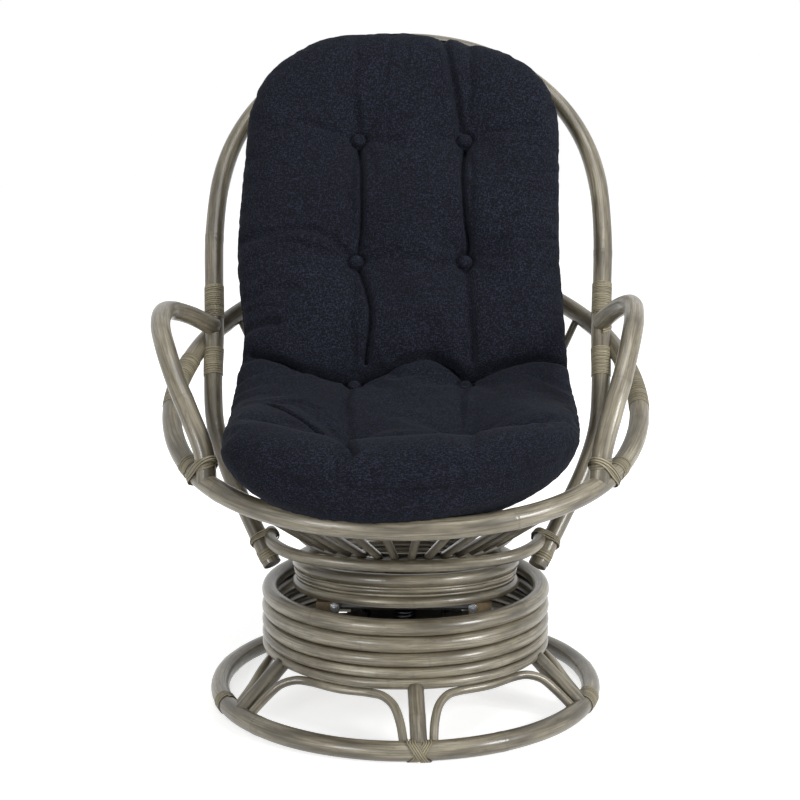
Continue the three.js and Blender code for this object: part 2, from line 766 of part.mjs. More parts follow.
// Bindings on the posts, by their middle and length up the plane of the hoop
const postBindings = [
  ['upper', 76, 54],
  ['lower', -56, 36],
];
for (const [sideName, side] of [['left', -1], ['right', 1]]) {
  for (const [level, middle, length] of postBindings) {
    const name = `${sideName}_${level}_post_binding`;
    const share = hoop.shareNear(hoopPlace(side * hoopHalfWidth, middle));
    seat.add(piece(name, caneWinding(name, hoop, share, length, postBindingTurns), cane));
  }
  const name = `${sideName}_foot_binding`;
  const footPlace = hoopPlace(side * hoopShares[1][0] * hoopHalfWidth, footBindingInset - hoopFootReach);
  const share = hoop.shareNear(footPlace);
  seat.add(piece(name, caneWinding(name, hoop, share, footBindingLength, footBindingTurns), cane));
}

// Arms: shares of the bulge, of the rim's half depth, and of the way from the rim's front up to the arm's top
const armShares = [
  [0, 0.372, 0.845],
  [0.54, 0.266, 0.944],
  [0.98, 0.118, 1],
  [0.982, -0.148, 0.963],
  [0.796, -0.325, 0.847],
  [0.525, -0.459, 0.67],
  [0.3, -0.533, 0.524],
  [0, -0.6, 0.294],
  [0, -0.622, 0.132],
];
const armSides = [
  ['left_arm', -1, leftArmBulge, leftArmTopHeight],
  ['right_arm', 1, rightArmBulge, rightArmTopHeight],
];
const armHeadHalfWidth = postShare * hoopHalfWidth;
const arms = [];
for (const [name, side, bulge, topHeight] of armSides) {
  const places = armShares.map(([out, back, up], i) => {
    const straight = lerp(armHeadHalfWidth, armFootHalfWidth, i / (armShares.length - 1));
    const height = lerp(rimFrontHeight, topHeight, up);
    return point(side * (straight + out * bulge), back * rimHalfDepth, height);
  });
  const arm = new Pole(new THREE.CatmullRomCurve3(places), mainPoleRadius, mainPoleSides, armSteps);
  arms.push(arm);
  seat.add(piece(name, cope(arm.solid(), hoop.fat(), frontRim.fat(), rearRim.fat()), rattan));
  const bindingName = `${name}_binding`;
  const share = (side * armBindingAngle + rimSpliceAngle) / (2 * rimSpliceAngle);
  const binding = caneWinding(bindingName, frontRim, share, armBindingLength, armBindingTurns);
  seat.add(piece(bindingName, binding, cane));
}

// Lower hoop, lashed to the feet of the back hoop and lying on the front of the top stack ring
const lowerHoopShares = [
  [1, 0.2, 1],
  [0.97, 0.48, 0.68],
  [0.79, 0.77, 0.34],
  [0.43, 0.948, 0.08],
];
const lowerHoopSide = (side) =>
  lowerHoopShares.map(([out, forward, up]) =>
    point(side * out * lowerHoopHalfWidth, -forward * lowerHoopReach, lowerHoopHeight + up * lowerHoopRise),
  );
const lowerHoopPath = new THREE.CatmullRomCurve3([
  ...lowerHoopSide(-1),
  point(0, -lowerHoopReach, lowerHoopHeight),
  ...lowerHoopSide(1).reverse(),
]);
const lowerHoop = new Pole(lowerHoopPath, seatHoopRadius, mainPoleSides, stackSegments / 2);
const lowerHoopSolid = cope(lowerHoop.solid(), topStackRing(seatGap), hoop.fat());
seat.add(piece('lower_hoop', lowerHoopSolid, rattan));

// Basket: an inner ring with spindles that fan out to the rim, and two props down to the stack
const basketRingHeight = stackTopHeight + basketRingLift;
const basketPlace = (angle) =>
  around(1, angle, 0)
    .multiply(point(basketRingHalfWidth, basketRingHalfDepth, 0))
    .applyAxisAngle(point(1, 0, 0), radians(basketRingTilt))
    .add(point(0, basketRingShift, basketRingHeight));
const basketRing = (allowance) =>
  levelRing(basketRingHalfWidth, basketRingRadius + allowance, 0, thinPoleSides, basketSegments)
    .scale(1, basketRingHalfDepth / basketRingHalfWidth, 1)
    .rotateX(radians(basketRingTilt))
    .translate(0, basketRingShift, basketRingHeight);
const straightPole = (from, to, radius, sides) =>
  new Pole(new THREE.LineCurve3(from, to), radius, sides, 1).solid();
const spindleAngles = [4, 12, 20, 28, 36, 44, 54, 128];
const spindles = spindleAngles
  .flatMap((angle) => [angle, -angle])
  .map((angle) => straightPole(basketPlace(angle), rimPlace(angle), spindleRadius, thinPoleSides));
const props = [propAngle, -propAngle].map((angle) => {
  const foot = around(stackOuterRadius - stackPoleRadii.at(-1), angle, stackHeight - stackPoleRadii.at(-1));
  return straightPole(basketPlace(angle), foot.applyMatrix4(tilt), propRadius, thinPoleSides);
});
const basket = cope(
  join(basketRing(0), ...spindles, ...props),
  frontRim.fat(),
  rearRim.fat(),
  lowerHoop.fat(),
  hoop.fat(),
  topStackRing(seatGap),
);
seat.add(piece('seat_basket', basket, rattan));

// Spindles of the back, from the basket's ring past the inside of the rear rim up to the top of the hoop
// Between rim and top each one passes a place given by shares of its spread and of the hoop's top reach
const backSpindleBendShares = { spread: 0.85, reach: 0.36, sag: 3.1 };
const backSpindleTopShares = [0.965, 1, 0.965]; // of the hoop's top reach, for each spindle
const backSpindleSides = [['left', -1], ['middle', 0], ['right', 1]];
for (const [name, side] of backSpindleSides) {
  const foot = basketPlace(180 - side * backSpindleFootAngle);
  const rimAngle = 180 - side * backSpindleRimAngle;
  const inside = rimPlace(rimAngle);
  inside.addScaledVector(around(1, rimAngle, 0), -mainPoleRadius - backSpindleRadius - backSpindleRimGap);
  const low = hoopPlace(
    side * backSpindleSpread * backSpindleBendShares.spread,
    hoopTopReach * backSpindleBendShares.reach,
    backSpindleSag * backSpindleBendShares.sag,
  );
  const high = hoopPlace(side * backSpindleSpread, hoopTopReach * backSpindleTopShares[side + 1]);
  const path = new THREE.CatmullRomCurve3([foot, inside, low, high]);
  const spindle = new Pole(path, backSpindleRadius, thinPoleSides, backSpindleSteps);
  const neighbours = [basketRing(seatGap), rearRim.fat(), hoop.fat()];
  seat.add(piece(`${name}_back_spindle`, cope(spindle.solid(), ...neighbours), rattan));
}

// Cushion: one long tufted pad that bends from seat to back

// Middle layer of the pad, as shares of the front reach to the back and of the front height up
const cushionPath = new THREE.CatmullRomCurve3(
  [
    [-1, 1],
    [-0.75, 0.99],
    [-0.5, 1],
    [-0.26, 1.045],
    [-0.02, 1.131],
    [0.1, 1.202],
    [0.19, 1.309],
    [0.31, 1.512],
    [0.46, 1.755],
    [0.62, 2.009],
    [0.78, 2.263],
    [0.952, 2.527],
  ].map(([back, up]) => point(0, back * cushionFrontReach, up * cushionFrontHeight)),
);

// Reach to each side along the pad, as shares of the half width
const cushionLeftShares = [
  [0, 0.9],
  [0.2, 0.94],
  [0.36, 0.96],
  [0.47, 0.95],
  [0.6, 1],
  [0.8, 0.985],
  [1, 0.98],
];
const cushionRightShares = [
  [0, 0.9],
  [0.2, 0.95],
  [0.3, 0.96],
  [0.45, 0.93],
  [0.6, 0.925],
  [0.8, 0.915],
  [1, 0.91],
];
const cushionThicknessShares = [
  [0, 1.16],
  [0.12, 1.16],
  [0.22, 0.95],
  [0.3, 0.86],
  [0.4, 0.82],
  [0.52, 0.9],
  [0.75, 0.92],
  [1, 0.86],
];
const cushionCrownShares = [
  [0, 1],
  [0.18, 1],
  [0.36, 0.5],
  [0.55, 0.3],
  [1, 0.3],
];
const cushionFrontShare = 0.085; // of its length, over which the front edge rounds
const cushionTopShare = 0.07;
const tuftRowShares = [0.15, 0.375, 0.585, 0.793]; // of the length of the pad, each row of tufts
const tuftColumns = [-leftTuftColumn, rightTuftColumn];
const buttonRows = [
  ['lower_left_button', 0.375, -leftTuftColumn],
  ['middle_left_button', 0.585, -leftTuftColumn],
  ['upper_left_button', 0.793, -leftTuftColumn],
  ['middle_right_button', 0.585, rightTuftColumn],
  ['upper_right_button', 0.793, rightTuftColumn],
];

// The fold between seat and back: across as a share of the half width, along as a share of the length
const foldShares = [
  [-0.83, 0.422],
  [-0.6, 0.389],
  [-0.24, 0.389],
  [0.09, 0.426],
  [0.2, 0.422],
  [0.35, 0.389],
  [0.63, 0.411],
  [0.88, 0.416],
];

// Share of the loops against share of the length: loops lie closer at the ends and at the fold
const cushionLoopShares = [
  [0, 0],
  [0.1, 0.05],
  [0.4, 0.35],
  [0.6, 0.45],
  [0.92, 0.95],
  [1, 1],
];

// Places across the pad, as shares of its reach: over the top from right to left, and back underneath
const cushionTopOutShares = [
  1, 0.965, 0.86, 0.69, 0.52, 0.37, 0.22, 0.02, -0.15, -0.3, -0.45, -0.64, -0.84, -0.96, -1,
];
const cushionUnderOutShares = [-0.93, -0.6, 0, 0.6, 0.93];
const cushionEdgeShare = 0.12; // of the full thickness, left at the front and top ends
const cushionSquareness = { out: 0.8, up: 0.7 }; // under 1 the section is fuller than an oval
const dipFadeShare = 0.33; // of the half thickness, over which tufts and folds fade out at the sides
const cushionAcross = point(1, 0, 0);

function cushionFrame(share) {
  const place = cushionPath.getPointAt(THREE.MathUtils.clamp(share, 0, 1));
  const tangent = cushionPath.getTangentAt(THREE.MathUtils.clamp(share, 0, 1));
  return { place, normal: cushionAcross.clone().cross(tangent).normalize() };
}
const cushionLength = cushionPath.getLength();
function tuftDip(aside, share) {
  const tuft = tuftRowShares
    .map((row) => Math.hypot(aside, (share - row) * cushionLength) / tuftRadius)
    .reduce((sum, reach) => sum + Math.exp(-reach * reach), 0);
  const channel = Math.exp(-((aside / channelRadius) ** 2)) * (1 - Math.min(tuft, 1));
  return tuftDepth * Math.min(tuft, 1) + channelDepth * channel;
}
function cushionDip(out, share) {
  const foldGap = ((share - between(foldShares, out / cushionHalfWidth)) * cushionLength) / foldRadius;
  const fold = foldDepth * Math.exp(-foldGap * foldGap);
  return tuftColumns.reduce((sum, column) => sum + tuftDip(out - column, share), fold);
}
function cushionHalf(share) {
  const near = Math.min(share / cushionFrontShare, (1 - share) / cushionTopShare, 1);
  const rounding = Math.sqrt(Math.max(1 - (1 - near) ** 2, 0));
  return cushionHalfThickness * between(cushionThicknessShares, share) * lerp(cushionEdgeShare, 1, rounding);
}
function cushionPoint(outShare, side, row) {
  const inner = 1 - Math.abs(outShare) ** (2 / cushionSquareness.out);
  const upShare = side * inner ** (cushionSquareness.up / 2);
  const fall = 1 - Math.sqrt(1 - outShare ** 2);
  const from = (fall * cushionFrontRounding) / cushionLength;
  const to = 1 - (fall * cushionTopRounding) / cushionLength;
  const share = lerp(from, to, row);
  const { place, normal } = cushionFrame(share);
  const reachShares = outShare < 0 ? cushionLeftShares : cushionRightShares;
  const out = outShare * cushionHalfWidth * between(reachShares, share);
  const crown = cushionCrown * between(cushionCrownShares, share) * outShare ** 2;
  const dip = cushionDip(out, share) * THREE.MathUtils.clamp(upShare / dipFadeShare, 0, 1);
  return place.add(point(out, 0, 0)).addScaledVector(normal, upShare * cushionHalf(row) + crown - dip);
}
function cushionLoop(i) {
  const row = between(cushionLoopShares, i / (cushionLoops - 1));
  return [
    ...cushionTopOutShares.map((outShare) => cushionPoint(outShare, 1, row)),
    ...cushionUnderOutShares.map((outShare) => cushionPoint(outShare, -1, row)),
  ];
}
const pad = skin(Array.from({ length: cushionLoops }, (_, i) => cushionLoop(i)));

// A button's profile, as shares of its radius and of its thickness
const buttonShares = [
  [0, 0],
  [1, 0],
  [1, 0.45],
  [0.62, 1],
  [0, 1],
];
const buttonProfile = (allowance) =>
  buttonShares.map(
    ([out, up]) =>
      new THREE.Vector2(out * (buttonRadius + allowance), up > 0 ? up * buttonThickness : -allowance),
  );
const buttons = buttonRows.map(([, share, out]) => (allowance) => {
  const { place, normal } = cushionFrame(share);
  const start = place.add(point(out, 0, 0)).addScaledVector(normal, 2 * cushionHalfThickness);
  const [top] = new THREE.Raycaster(start, normal.clone().negate()).intersectObject(new THREE.Mesh(pad));
  const turn = new THREE.Quaternion().setFromUnitVectors(point(0, 0, 1), normal);
  const seatPlace = top.point.clone().addScaledVector(normal, -buttonSink);
  return new THREE.LatheGeometry(buttonProfile(allowance), buttonSides)
    .rotateX(Math.PI / 2)
    .applyQuaternion(turn)
    .translate(seatPlace.x, seatPlace.y, seatPlace.z);
});
const cushion = cope(
  pad,
  frontRim.fat(),
  rearRim.fat(),
  hoop.fat(),
  ...arms.map((arm) => arm.fat()),
  ...buttons.map((button) => button(seatGap)),
);
seat.add(piece('cushion', cushion, linen));
buttons.forEach((button, i) => seat.add(piece(buttonRows[i][0], button(0), linen)));

// The whole chair is moved so that its origin is on the floor, at the centre of its footprint
chair.updateMatrixWorld(true);
const box = new THREE.Box3().setFromObject(chair, true);
const centre = box.getCenter(new THREE.Vector3());
chair.position.set(-centre.x, -centre.y, -box.min.z);

export default chair;
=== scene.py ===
# %% [markdown]
# A rattan swivel rocker. The chair is a frame of bent poles: a floor ring with legs and arches, a drum of
# stacked rings, a swivel and rocker inside it, and above that a bowl seat with a round rim, a tall hoop
# back and two bent arms. One long tufted linen pad lies in it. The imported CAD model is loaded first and
# gives the frame that every piece is placed in, in metres.

import json
import math

import bmesh
import bpy
import numpy as np
from mathutils import Matrix, Vector
from mathutils.bvhtree import BVHTree


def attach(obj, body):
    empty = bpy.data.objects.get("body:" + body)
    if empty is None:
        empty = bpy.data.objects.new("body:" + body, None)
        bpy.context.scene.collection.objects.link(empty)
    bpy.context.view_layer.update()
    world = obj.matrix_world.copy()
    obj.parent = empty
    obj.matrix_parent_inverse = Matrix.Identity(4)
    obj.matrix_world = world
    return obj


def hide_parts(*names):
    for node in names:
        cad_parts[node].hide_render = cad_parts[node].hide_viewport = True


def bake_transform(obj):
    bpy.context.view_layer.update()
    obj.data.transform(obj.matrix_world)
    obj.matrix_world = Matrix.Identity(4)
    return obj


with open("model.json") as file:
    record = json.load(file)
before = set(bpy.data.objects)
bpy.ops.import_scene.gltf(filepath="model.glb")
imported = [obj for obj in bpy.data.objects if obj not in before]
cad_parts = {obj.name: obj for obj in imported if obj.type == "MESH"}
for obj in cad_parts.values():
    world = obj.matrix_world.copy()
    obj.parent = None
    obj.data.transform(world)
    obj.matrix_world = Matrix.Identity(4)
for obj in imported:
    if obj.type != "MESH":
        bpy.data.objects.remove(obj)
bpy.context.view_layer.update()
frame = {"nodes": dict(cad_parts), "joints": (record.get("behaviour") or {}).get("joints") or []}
swivel_joint = next(j for j in frame["joints"] if j["name"] == "swivel_turn")
axis_place = np.array([swivel_joint["pos_m"][0], swivel_joint["pos_m"][1], 0.0])
print("swivel axis at", axis_place)

# %% [markdown]
# The camera comes first, so that every piece can be judged in the photograph's own view. A real product
# photograph is taken from a few metres away with a longish lens, which keeps the tall back upright. The
# camera could be aimed with a constraint, but plain numbers that were fitted to the rings of the base stay
# put.

# %% Camera
MM = 0.001
CAMERA_DISTANCE = 2510.4
CAMERA_ASIDE = 52.6
CAMERA_HEIGHT = 934
CAMERA_PITCH = 10.5
CAMERA_TURN = 1.2
SENSOR_WIDTH = 36
FOCAL_PIXELS = 1650
FRAME_PIXELS = 800
SHIFT_PIXELS = 5.5

camera_data = bpy.data.cameras.new("studio_camera")
camera = bpy.data.objects.new("studio_camera", camera_data)
bpy.context.scene.collection.objects.link(camera)
camera.location = Vector(axis_place) + Vector((CAMERA_ASIDE, -CAMERA_DISTANCE, CAMERA_HEIGHT)) * MM
camera.rotation_euler = (math.radians(90 - CAMERA_PITCH), 0, math.radians(CAMERA_TURN))
camera_data.sensor_width = SENSOR_WIDTH
camera_data.lens = SENSOR_WIDTH * FOCAL_PIXELS / FRAME_PIXELS
camera_data.shift_x = -SHIFT_PIXELS / FRAME_PIXELS
bpy.context.scene.camera = camera
print("camera at", tuple(round(v, 3) for v in camera.location), "lens", camera_data.lens)

# %% [markdown]
# Colours are written as the hex values that a screen shows, and Blender wants linear light. One function
# turns one into the other. A second one adds a node to a material with its settings and links and gives one
# of its outputs, so that each material below reads as a short list of nodes. A third turns the size of a
# pattern in millimetres into the number of repeats in a metre, which is what a texture's scale means on
# metre coordinates.

# %% Colour and node helpers
def linear(hex_colour):
    parts = [int(hex_colour[i : i + 2], 16) / 255 for i in (1, 3, 5)]
    return tuple(p / 12.92 if p <= 0.04045 else ((p + 0.055) / 1.055) ** 2.4 for p in parts) + (1.0,)


def add_node(tree, kind, settings=None, give=0, stops=(), **inputs):
    """Inputs go by socket name, or by number as in _6. The stops of a ramp start with its two ends."""
    node = tree.nodes.new("ShaderNode" + kind)
    for key, value in (settings or {}).items():
        setattr(node, key, value)
    for i, (place, colour) in enumerate(stops):
        stop = node.color_ramp.elements[i] if i < 2 else node.color_ramp.elements.new(place)
        stop.position, stop.color = place, linear(colour)
    for key, value in inputs.items():
        socket = node.inputs[int(key[1:]) if key[0] == "_" else key.replace("_", " ")]
        if isinstance(value, bpy.types.NodeSocket):
            tree.links.new(value, socket)
        else:
            socket.default_value = value
    return node.outputs[give] if len(node.outputs) else node


def new_material(name):
    material = bpy.data.materials.new(name)
    material.use_nodes = True
    material.node_tree.nodes.clear()
    return material, material.node_tree


def repeats(*sizes_mm):
    return tuple(1000 / size for size in sizes_mm)


COLOURS = {"data_type": "RGBA"}
print("helpers ready, mid grey is", linear("#808080")[0])

# %% [markdown]
# Rattan poles are the stems of a climbing palm, skinned, bent in steam, stained with a grey wash and
# lacquered. The wash sits in the open fibres, so the eye sees long soft streaks, olive and taupe patches,
# small dark spots and dark rings where the stem had its leaf joints, all under a satin lacquer. The streaks
# could follow world axes, but a bent pole needs them to follow its length, so every pole carries an
# attribute with its own lengthwise coordinate. Real fibres are about 0.4 mm wide. That is too fine to show
# in this frame, so the streaks are drawn 2.5 mm wide.

# %% Grey-washed rattan
STREAK = 2.5
RATTAN_DARK, RATTAN_MIDDLE, RATTAN_LIGHT = "#4F493C", "#8F8773", "#B4AD99"


def grey_washed_rattan():
    material, tree = new_material("grey_washed_rattan")
    grain = add_node(tree, "Attribute", {"attribute_name": "grain"}, "Vector")
    tone = add_node(tree, "Attribute", {"attribute_name": "tone"}, "Fac")
    joints_and_contact_shade = add_node(tree, "Attribute", {"attribute_name": "knuckle"}, "Fac")
    fine = add_node(tree, "Mapping", Vector=grain, Scale=repeats(STREAK, STREAK, STREAK * 28))
    streaks = add_node(tree, "TexNoise", Vector=fine, Scale=1.0, Detail=4.0, Roughness=0.62)
    wide = add_node(tree, "Mapping", Vector=grain, Scale=repeats(18.1818, 18.1818, 111.111))
    patches = add_node(tree, "TexNoise", Vector=wide, Scale=1.0, Detail=3.0, Roughness=0.55)
    level = add_node(tree, "Math", {"operation": "MULTIPLY_ADD"}, _0=patches, _1=1.9, _2=-0.45)
    shifted = add_node(tree, "Math", {"operation": "ADD"}, _0=level, _1=tone)
    stops = (0.12, RATTAN_DARK), (0.95, RATTAN_LIGHT), (0.5, RATTAN_MIDDLE)
    ground = add_node(tree, "ValToRGB", stops=stops, Fac=shifted)
    brown = add_node(tree, "TexNoise", Vector=grain, Scale=repeats(38.4615)[0], Detail=2.0)
    stain = add_node(tree, "MapRange", Value=brown, From_Min=0.5, From_Max=0.75, To_Max=0.45)
    warm = add_node(tree, "Mix", COLOURS, 2, _0=stain, _6=ground, _7=linear("#6B604F"))
    short = add_node(tree, "Mapping", Vector=grain, Scale=repeats(5.88235, 5.88235, 16.6667))
    mottle = add_node(tree, "TexNoise", Vector=short, Scale=1.0, Detail=5.0, Roughness=0.7)
    spots = add_node(tree, "MapRange", Value=mottle, From_Min=0.55, From_Max=0.74, To_Max=0.6)
    mottled = add_node(tree, "Mix", COLOURS, 2, _0=spots, _6=warm, _7=linear("#453D33"))
    lines = add_node(tree, "MapRange", Value=streaks, From_Min=0.36, From_Max=0.62, To_Min=0.75, To_Max=0.0)
    streaked = add_node(tree, "Mix", COLOURS, 2, _0=lines, _6=mottled, _7=linear(RATTAN_DARK))
    # The dark ring colour draws the leaf joints, the darker pole ends and a painted shade where rings touch.
    joint_and_shade_strength = add_node(tree, "Math", {"operation": "MULTIPLY"}, _0=joints_and_contact_shade, _1=0.45)
    ringed_and_shaded = add_node(tree, "Mix", COLOURS, 2, _0=joint_and_shade_strength, _6=streaked, _7=linear("#3A332A"))
    rough = add_node(tree, "MapRange", Value=patches, To_Min=0.28, To_Max=0.48)
    bump = add_node(tree, "Bump", Height=streaks, Strength=0.16, Distance=0.0006)
    shader = add_node(
        tree, "BsdfPrincipled", Base_Color=ringed_and_shaded, Roughness=rough, Normal=bump, IOR=1.5, Coat_Weight=0.35,
        Coat_Roughness=0.16,
    )
    add_node(tree, "OutputMaterial", Surface=shader)
    return material


rattan = grey_washed_rattan()
print("material", rattan.name)

# %% [markdown]
# Cane is the glossy skin of the same stem, split into flat strips about 4 mm wide. It takes less stain, so
# it is a little paler than the poles. Its edges are drawn dark, a painted shade for the narrow gaps between
# turns. A strip carries the same lengthwise attribute, and the second one, which marks leaf joints on a
# pole, holds that painted shade along its edges.

# %% Split cane
def split_cane_skin():
    material, tree = new_material("split_cane_skin")
    grain = add_node(tree, "Attribute", {"attribute_name": "grain"}, "Vector")
    gap_shade = add_node(tree, "Attribute", {"attribute_name": "knuckle"}, "Fac")
    tone = add_node(tree, "Attribute", {"attribute_name": "tone"}, "Fac")
    long = add_node(tree, "Mapping", Vector=grain, Scale=repeats(2, 2, 62.5))
    fibres = add_node(tree, "TexNoise", Vector=long, Scale=1.0, Detail=3.0)
    patches = add_node(tree, "TexNoise", Vector=grain, Scale=repeats(22.2222)[0], Detail=2.0)
    level = add_node(tree, "Math", {"operation": "ADD"}, _0=patches, _1=tone)
    ground = add_node(tree, "ValToRGB", stops=((0.25, "#756D56"), (0.8, "#A79E82")), Fac=level)
    lines = add_node(tree, "MapRange", Value=fibres, From_Min=0.4, From_Max=0.65, To_Min=0.6, To_Max=0.0)
    fibred = add_node(tree, "Mix", COLOURS, 2, _0=lines, _6=ground, _7=linear("#5F5848"))
    # The dark edges are a painted shade for the gaps between turns.
    gap_shaded = add_node(tree, "Mix", COLOURS, 2, _0=gap_shade, _6=fibred, _7=linear("#322C22"))
    rough = add_node(tree, "MapRange", Value=patches, To_Min=0.46, To_Max=0.7)
    bump = add_node(tree, "Bump", Height=fibres, Strength=0.2, Distance=0.0004)
    shader = add_node(
        tree, "BsdfPrincipled", Base_Color=gap_shaded, Roughness=rough, Normal=bump, IOR=1.5, Coat_Weight=0.1,
        Coat_Roughness=0.25,
    )
    add_node(tree, "OutputMaterial", Surface=shader)
    return material


cane = split_cane_skin()
print("material", cane.name)

# %% [markdown]
# A bent pole is a tube along a smooth line. Blender's own curve bevel would make the tube, but it can't
# carry a coordinate along the grain, or thicken the stem at its joints. So a flat grid is rolled up
# instead: one of its directions goes round the pole and the other goes along it. The line is smoothed by
# the same spline that the CAD uses, so the poles lie where the CAD has them.

# %% Lines in space
def unit(v):
    return v / np.maximum(np.linalg.norm(v, axis=-1, keepdims=True), 1e-9)


def around(radius, angle, height):
    """A place on a level circle, in millimetres from the swivel axis, its angle counted from the front."""
    a = np.radians(angle)
    parts = np.broadcast_arrays(radius * np.sin(a), -radius * np.cos(a), height)
    return np.stack(parts, axis=-1).astype(float)


def spline(places, samples=40):
    """A smooth line through the places, dense enough to be read as a polyline."""
    p = np.array(places, float)
    p = np.vstack([2 * p[0] - p[1], p, 2 * p[-1] - p[-2]])
    line = []
    for i in range(1, len(p) - 2):
        a, b, c = [max(np.sum((p[j + 1] - p[j]) ** 2) ** 0.25, 1e-6) for j in (i - 1, i, i + 1)]
        step = p[i + 1] - p[i]
        leave = ((p[i] - p[i - 1]) / a - (p[i + 1] - p[i - 1]) / (a + b) + step / b) * b
        arrive = (step / b - (p[i + 2] - p[i]) / (b + c) + (p[i + 2] - p[i + 1]) / c) * b
        t = np.linspace(0, 1, samples, endpoint=i == len(p) - 3)[:, None]
        near_end = (2 * t**3 - 3 * t**2 + 1) * p[i] + (t**3 - 2 * t**2 + t) * leave
        line.append(near_end + (3 * t**2 - 2 * t**3) * p[i + 1] + (t**3 - t**2) * arrive)
    return np.vstack(line)


outwards = lambda places: unit(places * (1, 1, 0))
print("a quarter circle has", len(around(100, np.linspace(0, 90, 200), 0)), "places")

# %% [markdown]
# A route is such a line with a frame along it: a direction forward, one to the side where the angle round
# the pole is zero, and one across both. Every pole, strip and lashing below is laid out in these three
# directions.

# %% Route
class Route:
    """The middle line of a pole with a frame along it. Its side points to where the angle is zero."""

    def __init__(self, places, side=None):
        self.places = np.array(places, float)
        self.reach = np.r_[0, np.cumsum(np.linalg.norm(np.diff(self.places, axis=0), axis=1))]
        self.length = self.reach[-1]
        self.tangent = unit(np.gradient(self.places, self.reach, axis=0))
        if side is not None:
            wanted = side(self.places)
            self.normal = unit(wanted - np.sum(wanted * self.tangent, axis=1, keepdims=True) * self.tangent)
        else:
            normals = [unit(np.cross(self.tangent[0], (0.31, 0.22, 0.93)))]
            for t in self.tangent[1:]:
                normals.append(unit(normals[-1] - np.dot(normals[-1], t) * t))
            self.normal = np.array(normals)
        self.binormal = np.cross(self.tangent, self.normal)

    def along(self, s):
        """Place, forward, side and across at each length s."""
        read = lambda table: np.stack([np.interp(s, self.reach, table[:, i]) for i in range(3)], axis=-1)
        return read(self.places), unit(read(self.tangent)), unit(read(self.normal)), unit(read(self.binormal))

    def beside(self, s, angle, radius):
        place, _, normal, binormal = self.along(s)
        out = normal * np.cos(angle)[..., None] + binormal * np.sin(angle)[..., None]
        return place + out * np.asarray(radius)[..., None], out

    def nearest(self, place):
        return self.reach[np.argmin(np.sum((self.places - np.array(place)) ** 2, axis=1))]


quarter = Route(around(100, np.linspace(0, 90, 200), 0))
print("a quarter circle of radius 100 is", round(quarter.length, 1), "mm long")

# %% [markdown]
# The grid is rolled up by giving each of its points a place, its grain coordinate and how dark it is drawn
# there, for a dark ring or a painted shade. The two long edges meet and are merged, and the two ends are
# closed with a cap. A finished piece then gets its material, the body that it rides on and its tone, which
# makes one pole darker than the next.

# %% Rolling a grid into a tube
WELD = 2e-6


def tube(bm, round_count, stations, place_of):
    """Rolls a grid: place_of(angle, station) gives a vertex its place, grain and dark marks, with painted
    shade.
    """
    layers = bm.verts.layers
    grain_layer = layers.float_vector.get("grain") or layers.float_vector.new("grain")
    dark_ring_and_shade_layer = layers.float.get("knuckle") or layers.float.new("knuckle")
    rows = len(stations) - 1
    verts = bmesh.ops.create_grid(bm, x_segments=round_count, y_segments=rows, size=0.5)["verts"]
    shares = np.array([v.co[:2] for v in verts]) + 0.5
    row = np.rint(shares[:, 1] * rows).astype(int)
    places, grain, ring = place_of(shares[:, 0] * 2 * math.pi, stations[row])
    for v, p, g, r in zip(verts, places * MM + axis_place, grain * MM, ring):
        v.co = p
        v[grain_layer] = g
        v[dark_ring_and_shade_layer] = r
    bmesh.ops.remove_doubles(bm, verts=verts, dist=WELD)
    open_edges = [e for e in bm.edges if e.is_boundary]
    return bmesh.ops.holes_fill(bm, edges=open_edges, sides=0)["faces"]


def new_object(name, bm):
    mesh = bpy.data.meshes.new(name)
    bm.to_mesh(mesh)
    bm.free()
    piece = bpy.data.objects.new(name, mesh)
    bpy.context.scene.collection.objects.link(piece)
    return piece


def finish_piece(name, bm, material, body, tone=0.0, nodes=()):
    bmesh.ops.recalc_face_normals(bm, faces=bm.faces)
    piece = new_object(name, bm)
    tones = np.full(len(piece.data.vertices), tone, np.float32)
    piece.data.attributes.new("tone", "FLOAT", "POINT").data.foreach_set("value", tones)
    piece.data.materials.append(material)
    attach(piece, body)
    if nodes:
        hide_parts(*nodes)
    return piece


print("a tube's edges are merged within", WELD, "m")

# %% [markdown]
# No stem is perfectly round or even. Its thickness wanders by a few tenths of a millimetre, and every 20 to
# 30 cm there is a leaf joint: a low swelling with a thin dark ring. The rows of the grid are placed closer
# together there, so that the ring stays sharp. The ends are sawn off square and their edges are eased, and
# the stem is drawn darker near them. A painted shade darkens the line where a ring touches the next one
# above and below.

# %% Poles
JOINT_ROWS = (-9, -5, -2.2, -0.8, 0.8, 2.2, 5, 9)
USUAL_RADIUS = 15
END_DARKENING = 9


def joint_places(length, seed, gap):
    """Where the leaf joints of a stem fall along it."""
    chance = np.random.default_rng(seed)
    places, at = [], chance.uniform(0.2, 0.9) * gap
    while at < length:
        places.append(at)
        at += gap * chance.uniform(0.8, 1.25)
    return np.array(places)


